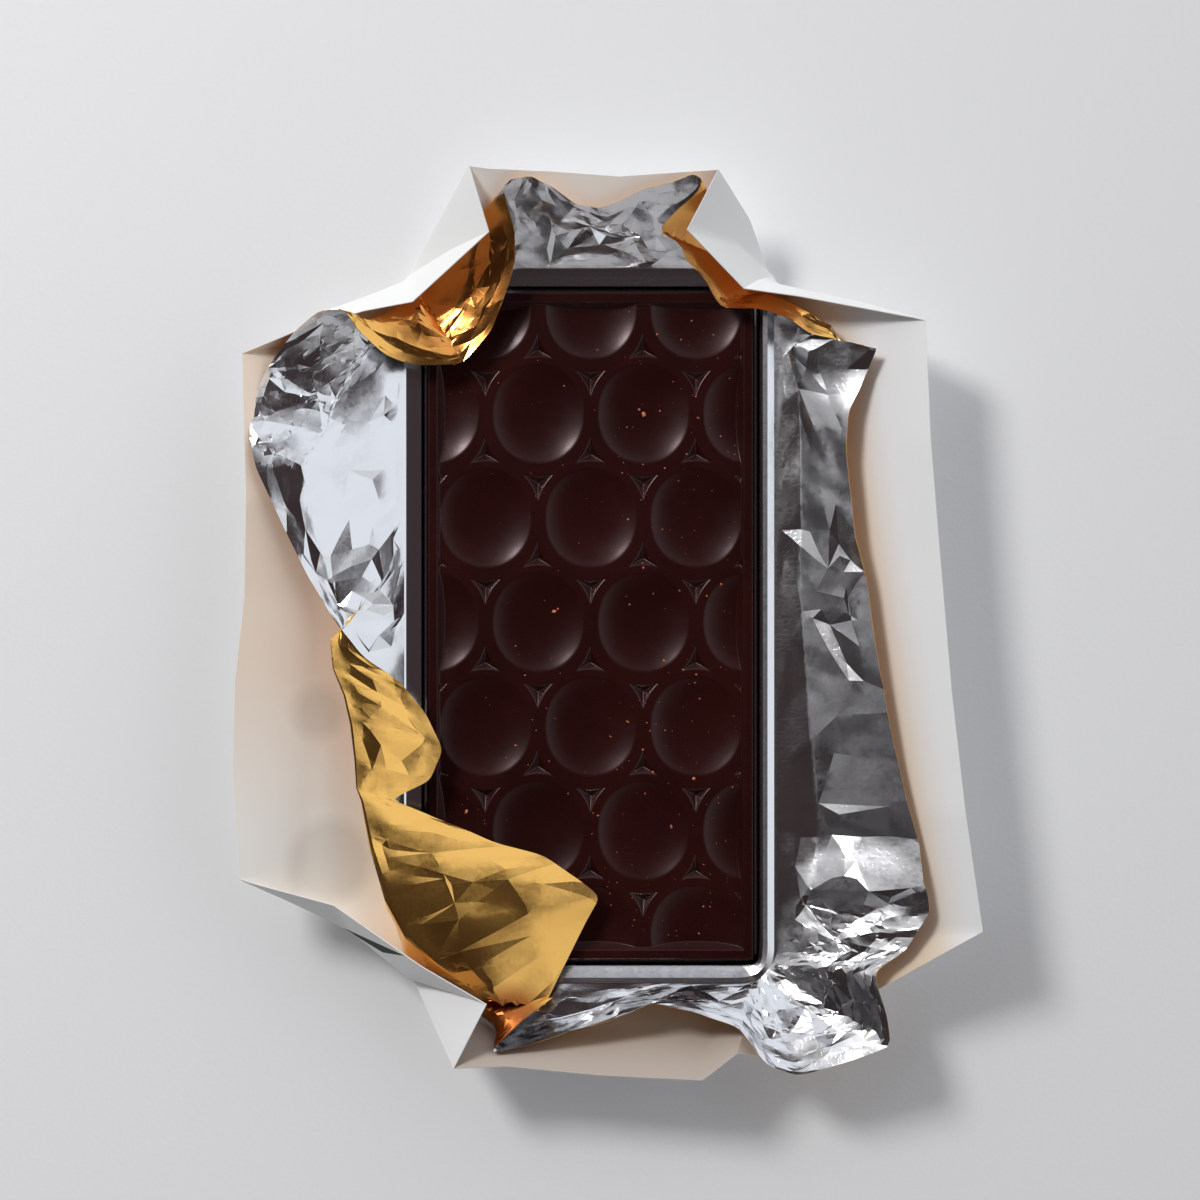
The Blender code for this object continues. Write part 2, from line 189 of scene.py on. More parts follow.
# The bar is one block of dark chocolate that was cast in a mould: a raised frame round
# rows of shallow dishes, with three-sided pits between them. Its top is triangulated
# along the rims and valleys and then raised, and the sides are drawn down from it.
BAR_TOP = 9.2
BAR_FLOOR = 1.2
TOP_HALF = (37.15, 76.2)
FOOT_HALF = (37.95, 77.0)
EDGE_ROUND = 0.35
FRAME_WIDTH = 2.1
FRAME_DROP = 0.8
FRAME_FLAT = 1.5
FRAME_INSETS = (0.0, 0.03, 0.1, 0.2, 0.35, 1.2, 1.92, 2.02, 2.1, 2.18, 2.3)
WALL_SLOPE = 1.4
WALL_INSET = 2.35
FIELD_INSET = 2.9
LAND_STEP = 1.7
DISH_PITCH = (24.1, 23.85)
MIDDLE_ROW_Y = 0.9
DISH_HALF = (10.4, 11.3)
DISH_DEPTH = 1.6
DISH_STEEPNESS = 2.6
DISH_SQUARENESS = 2.15
DISH_RINGS = (
    (1.035, 96), (1.018, 96), (1.0, 96), (0.982, 96), (0.96, 96), (0.92, 96), (0.87, 80),
    (0.8, 64), (0.71, 56), (0.6, 44), (0.48, 34), (0.34, 24), (0.18, 12),
)
PIT_ARC = 12.0
PIT_FACE = 1.5
PIT_SLOPE = 1.0
PIT_REACH = 5.5
PIT_SHARES = (0.668, 0.611)
PIT_STEPS = (-0.3, -0.14, 0.0, 0.12, 0.26, 0.6, 0.95, 1.25)
SOFT_RIM = 0.14
SOFT_PIT = 0.16
SOFT_VALLEY = 0.14
SOFT_WALL = 0.12


def dish_centres(spread):
    """The dishes in their seven rows, and `spread` more at both ends of each row."""
    centres = []
    for row in range(7):
        count = (4 if row % 2 else 3) + 2 * spread
        y = MIDDLE_ROW_Y + (3 - row) * DISH_PITCH[1]
        centres += [((k - (count - 1) / 2) * DISH_PITCH[0], y) for k in range(count)]
    return np.array(centres)


CENTRES = dish_centres(1)


def soft_min(a, b, reach):
    """The lower of two heights, rounded where they meet."""
    return np.minimum(a, b) - np.maximum(reach - np.abs(a - b), 0) ** 2 / (4 * reach)


def ring_share(dx, dy):
    power = DISH_SQUARENESS
    return (np.abs(dx / DISH_HALF[0]) ** power + np.abs(dy / DISH_HALF[1]) ** power) ** (1 / power)


def pit_middles():
    """Each pit's middle, and 1 where it points down or -1 where it points up."""
    middles = []
    for row in range(6):
        for column in range(-3, 4):
            down = (column + row) % 2 == 0
            drop = PIT_SHARES[0] if down else 1 - PIT_SHARES[1]
            y = MIDDLE_ROW_Y + (3 - row - drop) * DISH_PITCH[1]
            middles.append((column * DISH_PITCH[0] / 2, y, 1 if down else -1))
    return np.array(middles)


PITS = pit_middles()
PIT_TURNS = np.radians((90, 210, 330))
PIT_ARCS = (PIT_ARC + PIT_FACE) * np.column_stack((np.cos(PIT_TURNS), np.sin(PIT_TURNS)))


def pit_height(x, y):
    """The nearest pit: three walls that rise from its middle to the arcs round it."""
    pit = np.argmin(np.hypot(x[:, None] - PITS[:, 0], y[:, None] - PITS[:, 1]), axis=1)
    x, y = x - PITS[pit, 0], (y - PITS[pit, 1]) * PITS[pit, 2]
    away = np.sort(np.hypot(x[:, None] - PIT_ARCS[:, 0], y[:, None] - PIT_ARCS[:, 1]), axis=1)
    nearest = soft_min(soft_min(away[:, 0], away[:, 1], SOFT_VALLEY), away[:, 2], SOFT_VALLEY)
    return np.maximum(-PIT_SLOPE * (nearest - PIT_ARC), np.hypot(x, y) - PIT_REACH)


def field_height(x, y):
    """The field's relief, counted from its flat lands."""
    share = ring_share(x[:, None] - CENTRES[:, 0], y[:, None] - CENTRES[:, 1]).min(axis=1)
    steep = DISH_DEPTH * DISH_STEEPNESS
    inside = -DISH_DEPTH * (1 - np.minimum(share, 1) ** DISH_STEEPNESS)
    dish = inside + steep * np.maximum(share - 1, 0)
    land = soft_min(dish, np.zeros_like(dish), SOFT_RIM)
    return soft_min(land, pit_height(x, y), SOFT_PIT)


def bar_height(x, y):
    inset = np.minimum(TOP_HALF[0] - np.abs(x), TOP_HALF[1] - np.abs(y))
    wall = -WALL_SLOPE * (inset - FRAME_WIDTH)
    field = field_height(x, y) - FRAME_DROP
    inner = -soft_min(-field, -wall, SOFT_WALL)
    top = soft_min(inner, np.zeros_like(inner), SOFT_WALL)
    top = np.where(inset < FRAME_FLAT, 0.0, top)
    rounding = np.clip(EDGE_ROUND - inset, 0, EDGE_ROUND)
    return BAR_TOP + top - (EDGE_ROUND - np.sqrt(EDGE_ROUND**2 - rounding**2))


points = []
lines = []


def add_path(path, keep=None, closed=False):
    """Adds the kept runs of a path as points and as lines that stay edges."""
    path = np.asarray(path)
    keep = np.ones(len(path), bool) if keep is None else keep
    before = -1
    first = len(points)
    for place, kept in zip(path, keep):
        if not kept:
            before = -1
            continue
        points.append(place)
        if before >= 0:
            lines.append((before, len(points) - 1))
        before = len(points) - 1
    if closed and keep.all():
        lines.append((before, first))


def triangulate(points, lines):
    """Triangles over flat points, with the lines as edges: their corners and faces."""
    corners, _, faces, *_ = delaunay_2d_cdt([Vector(place) for place in points], lines, [], 0, 1e-4)
    return np.array([tuple(corner) for corner in corners]), faces


def new_object(name, places, faces):
    """An object made from its points, in metres, and its faces."""
    mesh = bpy.data.meshes.new(name)
    mesh.from_pydata(places, [], faces)
    made = bpy.data.objects.new(name, mesh)
    bpy.context.collection.objects.link(made)
    return made


def rectangle(inset, spacing):
    half_x, half_y = TOP_HALF[0] - inset, TOP_HALF[1] - inset
    corners = ((-half_x, -half_y), (half_x, -half_y), (half_x, half_y), (-half_x, half_y))
    path = []
    for start, end in zip(corners, corners[1:] + corners[:1]):
        count = max(1, round(math.dist(start, end) / spacing))
        path += [np.array(start) + (np.array(end) - start) * k / count for k in range(count)]
    return path


def in_field(path, inset):
    return (np.abs(path[:, 0]) < TOP_HALF[0] - inset) & (np.abs(path[:, 1]) < TOP_HALF[1] - inset)


for inset in FRAME_INSETS:
    add_path(rectangle(inset, 3 if inset < FRAME_FLAT else 0.8), closed=True)

# Where the frame's sloping inner wall meets the field.
for axis in (0, 1):
    along = np.arange(-TOP_HALF[1 - axis] + 2.4, TOP_HALF[1 - axis] - 2.39, 0.55)
    for side in (-1, 1):
        low, high = np.full(len(along), 2.1), np.full(len(along), 4.4)
        for _ in range(24):
            middle = (low + high) / 2
            across = side * (TOP_HALF[axis] - middle)
            x, y = (across, along) if axis == 0 else (along, across)
            above = -WALL_SLOPE * (middle - FRAME_WIDTH) > field_height(x, y) - FRAME_DROP
            low, high = np.where(above, middle, low), np.where(above, high, middle)
        for shift in (-0.16, -0.06, 0.04, 0.14):
            across = side * (TOP_HALF[axis] - low - shift)
            path = np.column_stack((across, along) if axis == 0 else (along, across))
            add_path(path, in_field(path, WALL_INSET))

for x, y in dish_centres(0):
    points.append((x, y))
    for share, count in DISH_RINGS:
        turn = np.linspace(0, 2 * math.pi, count, endpoint=False)
        cos, sin = np.cos(turn), np.sin(turn)
        scale = share / ring_share(cos * DISH_HALF[0], sin * DISH_HALF[1])
        path = np.column_stack((x + cos * DISH_HALF[0] * scale, y + sin * DISH_HALF[1] * scale))
        add_path(path, in_field(path, FIELD_INSET), closed=True)

for x, y, way in PITS:
    points.append((x, y))
    for index, arc in enumerate(PIT_ARCS):
        others = np.delete(PIT_ARCS, index, axis=0)
        for step in PIT_STEPS:
            turn = PIT_TURNS[index] + math.pi + np.linspace(-0.35, 0.35, 25 if step < 0.5 else 15)
            away = PIT_ARC + step
            path = arc + away * np.column_stack((np.cos(turn), np.sin(turn)))
            gaps = np.hypot(*(path[:, :, None] - others.T).transpose(1, 0, 2)).min(axis=1)
            keep = gaps > away + 0.05
            path = path * [1, way] + [x, y]
            add_path(path, keep & in_field(path, FIELD_INSET))
        valley = -arc / np.hypot(*arc)
        beside = np.array((valley[1], -valley[0]))
        for shift in (-0.18, -0.07, 0.07, 0.18):
            along = np.arange(abs(shift) * 0.6 + 0.08, 4.5, 0.28)
            path = (along[:, None] * valley + shift * beside) * [1, way] + [x, y]
            add_path(path, in_field(path, FIELD_INSET))

for x in np.arange(-34, 34.1, LAND_STEP):
    for y in np.arange(-73.1, 73.2, LAND_STEP):
        spot = np.array([x]), np.array([y])
        flat = ring_share(x - CENTRES[:, 0], y - CENTRES[:, 1]).min() > 1.07
        if flat and pit_height(*spot)[0] > 0.45:
            points.append((x, y))

flat, triangles = triangulate(points, lines)
heights = bar_height(flat[:, 0], flat[:, 1])
chocolate = new_object("chocolate", np.column_stack((flat, heights)) * MM, triangles)


def edit_only(piece):
    """Selects one piece alone and opens it for editing."""
    bpy.ops.object.select_all(action="DESELECT")
    bpy.context.view_layer.objects.active = piece
    piece.select_set(True)
    bpy.ops.object.mode_set(mode="EDIT")


def fill_floor():
    """Fills the chosen loop of edges and turns every face the same way out."""
    bpy.ops.mesh.edge_face_add()
    bpy.ops.mesh.select_all(action="SELECT")
    bpy.ops.mesh.normals_make_consistent(inside=False)


edit_only(chocolate)
bpy.ops.mesh.select_mode(type="EDGE")
bpy.ops.mesh.select_all(action="DESELECT")
bpy.ops.mesh.select_non_manifold()
drop = BAR_TOP - EDGE_ROUND - BAR_FLOOR
bpy.ops.mesh.extrude_edges_move(TRANSFORM_OT_translate={"value": (0, 0, -drop * MM)})
bpy.ops.transform.resize(
    value=(FOOT_HALF[0] / TOP_HALF[0], FOOT_HALF[1] / TOP_HALF[1], 1), center_override=(0, 0, 0)
)
fill_floor()
bpy.ops.object.mode_set(mode="OBJECT")
bpy.ops.object.shade_smooth_by_angle(angle=math.radians(55))
flats = chocolate.modifiers.new("flats", "WEIGHTED_NORMAL")
flats.keep_sharp = True
bpy.ops.object.modifier_apply(modifier="flats")


cocoa, nodes, links, shader = principled("dark chocolate", (0.024, 0.006, 0.005), 0.3)
cloud = noise(nodes, links, 45, 5, 0.6)
tone = ramp(
    nodes, links, cloud.outputs["Fac"],
    (0.3, (0.0165, 0.0026, 0.0021)), (0.7, (0.027, 0.0046, 0.0035)),
)
links.new(tone, shader.inputs["Base Color"])
skin = noise(nodes, links, 240, 4, 0.6)
shine = ramp(nodes, links, skin.outputs["Fac"], (0.3, (0.25,)), (0.75, (0.29,)))
links.new(shine, shader.inputs["Roughness"])
add_bump(nodes, links, shader, noise(nodes, links, 1500, 3).outputs["Fac"], 0.00001, 0.6)
shader.inputs["IOR"].default_value = 1.45
shader.inputs["Specular Tint"].default_value = (1.0, 0.78, 0.8, 1)
chocolate.data.materials.append(cocoa)
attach(chocolate, "root")
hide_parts("chocolate_bar")


# Tiny orange-red crumbs of a dried topping lie scattered on the bar, thicker in a few
# places. One rough bead is added and copied, each copy flattened and turned its own way.
CRUMB_COUNT = 260
CRUMB_HALF = (34, 73)
CRUMB_SPOTS = (
    (12.2, 48.6, 1.3), (11.2, 49.6, 0.7), (-8.4, 3.3, 1.2), (-7.5, 3.9, 0.6), (18.5, -46, 1.1),
    (8.5, -21.9, 0.8), (21.2, -10, 0.8), (23.6, -34.9, 0.8), (14.3, -33.4, 0.7),
    (4.6, -25.4, 0.7), (24.6, 47.6, 0.8), (-17.2, -27.4, 0.8), (-28.4, -42.6, 1.3),
    (29.9, 9.6, 0.7), (16.8, -7.9, 0.7), (12.1, 13.3, 0.7), (12, -28.3, 0.6), (1.7, -43.4, 0.8),
    (0.6, -42.8, 0.4), (25.9, -64.3, 0.55), (8.6, 24.4, 0.6), (1.6, 63.2, 0.55),
    (24.1, 52.5, 0.55), (15.9, 49.3, 0.5), (15.2, 66.7, 0.5), (11.9, 14.4, 0.5),
    (10.3, -33.2, 0.5), (-15, -11.3, 0.5), (31.9, 56.7, 0.5), (26.6, 6.9, 0.5),
    (24.2, -11.1, 0.5), (22, 39.3, 0.5), (17, 36.1, 0.5), (13.6, -24, 0.5), (12.5, -38.4, 0.5),
)

chance = random.Random(21)
bpy.ops.mesh.primitive_ico_sphere_add(subdivisions=1, radius=1)
bead = bpy.context.object
bead_points = np.array([corner.co for corner in bead.data.vertices])
bead_faces = [tuple(face.vertices) for face in bead.data.polygons]
crumb_points = []
crumb_faces = []
crumbs_left = list(CRUMB_SPOTS)
for _ in range(CRUMB_COUNT):
    x = CRUMB_HALF[0] * math.copysign(chance.random() ** 0.8, chance.random() - 0.35)
    y = CRUMB_HALF[1] * math.copysign(chance.random() ** 0.8, chance.random() - 0.55)
    crumbs_left.append((x, y, 0.16 + 0.34 * chance.random() ** 3))
for x, y, width in crumbs_left:
    turn = chance.uniform(0, math.pi)
    shape = bead_points * [width / 2, width / 2 * chance.uniform(0.5, 1), width / 4]
    shape = shape * [[chance.uniform(0.75, 1.25)] for _ in shape]
    level = bar_height(np.array([x]), np.array([y]))[0]
    cos, sin = math.cos(turn), math.sin(turn)
    turned = np.column_stack(
        (shape[:, 0] * cos - shape[:, 1] * sin, shape[:, 0] * sin + shape[:, 1] * cos, shape[:, 2])
    )
    base = len(crumb_points)
    crumb_points += [tuple(p) for p in (turned + [x, y, level + width / 12]) * MM]
    crumb_faces += [tuple(base + k for k in face) for face in bead_faces]
crumbs = new_object("crumbs", crumb_points, crumb_faces)
bpy.data.objects.remove(bead)
dried, nodes, links, shader = principled("dried crumbs", (0.5, 0.1, 0.03), 0.5)
spots = noise(nodes, links, 700, 2)
tone = ramp(
    nodes, links, spots.outputs["Fac"], (0.35, (0.36, 0.06, 0.025)), (0.7, (0.75, 0.22, 0.08))
)
links.new(tone, shader.inputs["Base Color"])
crumbs.data.materials.append(dried)
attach(crumbs, "root")


# The foil is one sheet, silver inside and gold outside. It lies under the bar, stands
# round its sides and opens out into crumpled flaps; the near left one is turned back
# over the bar. It is laid along rays from the bar, then lifted into facets along creases.
FOIL_FOOT = (38.3, 77.35)
FOIL_CREASE = (42.6, 81.8)
FOIL_LEVELS = (0.9, 8.8)
FOOT_CORNER = 2.0
CREASE_CORNER = 8.0
FOLD_SHARE = 0.55
FOLD_FADE = 0.07
FOIL_ROWS = 61
FOIL_RAY_GAP = 1.45
FOIL_THICKNESS = 0.12
WIDE_FACET = 9.0
MIDDLE_FACET = 3.4
LEAST_LIFT = 0.12
SCATTER_GAP = 1.3
SCATTER_CELL = 0.8
EDGE_FADE = 3

# How the low wall climbs on the far, right, near and left side: shares of the way out
# and of the way up. The sides blend at the corners.
WALL_TURNS = (0.0, 0.05, 0.95, 1.05, 1.95, 2.05, 2.95, 3.05, 3.95, 4.0)
WALL_SIDES = [0, 0, 0, 1, 1, 2, 2, 3, 3, 0]
FOIL_WALLS = (
    ((0.03, 0.6), (0.1, 0.84), (0.5, 0.92), (0.75, 0.97), (0.95, 1.0)),
    ((0.03, 0.55), (0.1, 0.9), (0.26, 0.99), (0.5, 1.06), (0.86, 0.965)),
    ((0.03, 0.55), (0.1, 0.8), (0.35, 0.87), (0.7, 0.96), (0.95, 1.0)),
    ((0.03, 0.6), (0.1, 0.92), (0.4, 0.935), (0.7, 0.95), (0.9, 0.965)),
)

# One ray a line: where it leaves the bar, counted in corners clockwise from the far left
# one, then x, y and height of its bend, where it has one, and of its end on the cut edge.
FOIL_RAYS = (
    (0.01, -19.5, 97.5, 21),
    (0.1, -18, 100, 23),
    (0.22, -13, 100.5, 24),
    (0.36, -8.5, 98.5, 22.5),
    (0.5, -3, 95, 20.5),
    (0.6, 1.5, 94, 19.5),
    (0.7, 6.5, 95.5, 20),
    (0.8, 12, 98, 21.5),
    (0.89, 18.5, 99, 22.5),
    (0.95, 23, 101, 24.5),
    (0.975, 31.5, 88.5, 15.5, 25, 99.5, 24.5),
    (0.98, 32, 86.5, 14, 24, 97, 22.5),
    (0.985, 19.5, 93.5, 20),
    (0.99, 15, 89, 18),
    (0.995, 20.5, 86.5, 17),
    (1, 21.5, 82.5, 16),
    (1.003, 25.5, 79.5, 14.5),
    (1.006, 29.5, 72, 13.5),
    (1.01, 40, 75.5, 12, 38, 72, 14.5),
    (1.02, 45, 73.5, 14.5, 45, 69.5, 16.5),
    (1.04, 50, 70.5, 16.5, 49.5, 66, 17.5),
    (1.06, 55, 68.5, 16.5, 57, 65, 17.5),
    (1.08, 65.5, 63, 18.5),
    (1.13, 46.5, 64, 11, 62, 56.5, 18.5),
    (1.2, 47.5, 53.5, 11, 58, 48.5, 19.5),
    (1.27, 48, 42.5, 10.5, 57.5, 39.5, 19),
    (1.36, 48, 24, 10.5, 59.5, 20.5, 19.5),
    (1.45, 48, 8, 10.5, 62, 10.5, 20),
    (1.56, 49, -10, 10.5, 65, -10.5, 21),
    (1.68, 50.5, -30.5, 10.5, 68.5, -29, 21.5),
    (1.8, 51.5, -51, 11, 73.5, -49.5, 22.5),
    (1.9, 49, -63.5, 11, 76, -63.5, 23),
    (1.96, 70.5, -72.5, 22),
    (1.98, 63.5, -77.5, 21),
    (1.985, 66.5, -87, 21.5),
    (1.99, 67.5, -94, 21.5),
    (2, 58.5, -97.5, 20.5),
    (2.01, 46.5, -101, 20),
    (2.03, 39.5, -98.5, 19.5),
    (2.06, 33.5, -90, 19.5),
    (2.12, 25, -87, 20),
    (2.22, 13.5, -84.5, 19.5),
    (2.35, 6, -85.5, 10, 5.5, -88, 18.5),
    (2.48, 0, -87.5, 10.5, -0.5, -90, 18.5),
    (2.62, -7.5, -89.5, 10.8, -8, -92.5, 18.5),
    (2.85, -20, -91.5, 12, -22.5, -96, 19),
    (2.96, -16, -89.5, 17),
    (2.975, -8, -84, 14),
    (2.985, -23.5, -84.5, 17.5, -11, -87, 13.5),
    (2.99, -28, -80.5, 18.5, -6, -77, 12),
    (3, -35, -75.5, 20, -1, -67, 11),
    (3.02, -41.5, -69.5, 21, 2, -61.5, 11),
    (3.06, -46, -61, 22, -10.5, -52.5, 11.5),
    (3.12, -49.5, -49.5, 22, -22, -49, 13),
    (3.19, -51.5, -39, 21.5, -33, -44.5, 14),
    (3.25, -52.5, -36, 21.5, -45, -39, 18),
    (3.31, -53, -30, 21.5, -36.5, -35, 14.5),
    (3.38, -54, -22, 21.5, -33.5, -28, 14),
    (3.46, -55.5, -15.5, 21, -37.5, -19.5, 14.5),
    (3.52, -58, -9.5, 20.5, -43, -12.5, 16.5),
    (3.58, -58.5, -3, 20, -51.5, -6.5, 18.5),
    (3.62, -54.5, 0.5, 17.5, -59, 4, 20),
    (3.68, -59.5, 14, 19, -65, 14.5, 21),
    (3.74, -64.5, 28.5, 20.5, -71.5, 28.5, 22.5),
    (3.79, -64.5, 36, 20.5, -75, 36, 22.5),
    (3.83, -60, 44, 16.5, -76.5, 44, 20.5),
    (3.88, -57.5, 52.5, 13.5, -75, 53, 18.5),
    (3.92, -54, 58.5, 13, -72, 58.5, 18.5),
    (3.95, -51, 63, 13, -66, 65.5, 20),
    (3.965, -49.5, 65.5, 13, -61, 70, 21),
    (3.975, -47.5, 68, 14.5, -55.5, 71, 22),
    (3.98, -46, 71.5, 13.5, -52, 66.5, 19.5),
    (3.984, -41.5, 73.5, 13, -46, 61, 17),
    (3.988, -38.5, 73, 14, -39.5, 59, 15),
    (3.992, -29, 59.5, 13.5),
    (3.995, -22.5, 67, 14),
    (3.998, -18.5, 77, 15.5),
    (4, -17, 82.5, 16.5),
    (4.003, -17, 89, 18.5),
)

# How crushed the foil is, in mm: from one turn to another and between two shares of the
# way out, the lifts of its wide, middling and fine facets.
FOIL_CRUSH = (
    (0, 0.965, 0, 2, 0.55, 0.22, 0.02),
    (0.965, 1.08, 0, 2, 0.25, 0.08, 0.01),
    (1.08, 1.3, 0, 2, 0.3, 0.1, 0.01),
    (1.3, 1.8, 0, 0.5, 0.1, 0.03, 0),
    (1.3, 1.8, 0.5, 2, 0.3, 0.1, 0.01),
    (1.8, 1.93, 0, 0.5, 0.12, 0.05, 0),
    (1.8, 1.89, 0.5, 2, 0.3, 0.1, 0.01),
    (1.89, 2.06, -1, 2, 0.32, 0.24, 0.05),
    (2.06, 2.97, 0, 2, 0.5, 0.2, 0.02),
    (2.97, 3.1, 0.5, 2, 0.15, 0.03, 0),
    (3.1, 3.3, 0.5, 2, 0.35, 0.16, 0.01),
    (3.3, 3.6, 0.5, 2, 0.4, 0.18, 0.01),
    (3, 3.6, 0, 0.5, 0.25, 0.06, 0.01),
    (3.6, 3.8, 0, 0.5, 0.14, 0.05, 0.005),
    (3.6, 3.8, 0.5, 2, 0.2, 0.1, 0.01),
    (3.8, 3.98, 0, 0.5, 0.25, 0.08, 0.01),
    (3.8, 3.98, 0.5, 2, 0.35, 0.24, 0.05),
    (3.98, 4.004, 0.6, 2, 0.3, 0.26, 0.04),
    (3.98, 4.004, 0, 0.6, 0.2, 0.08, 0.01),
)

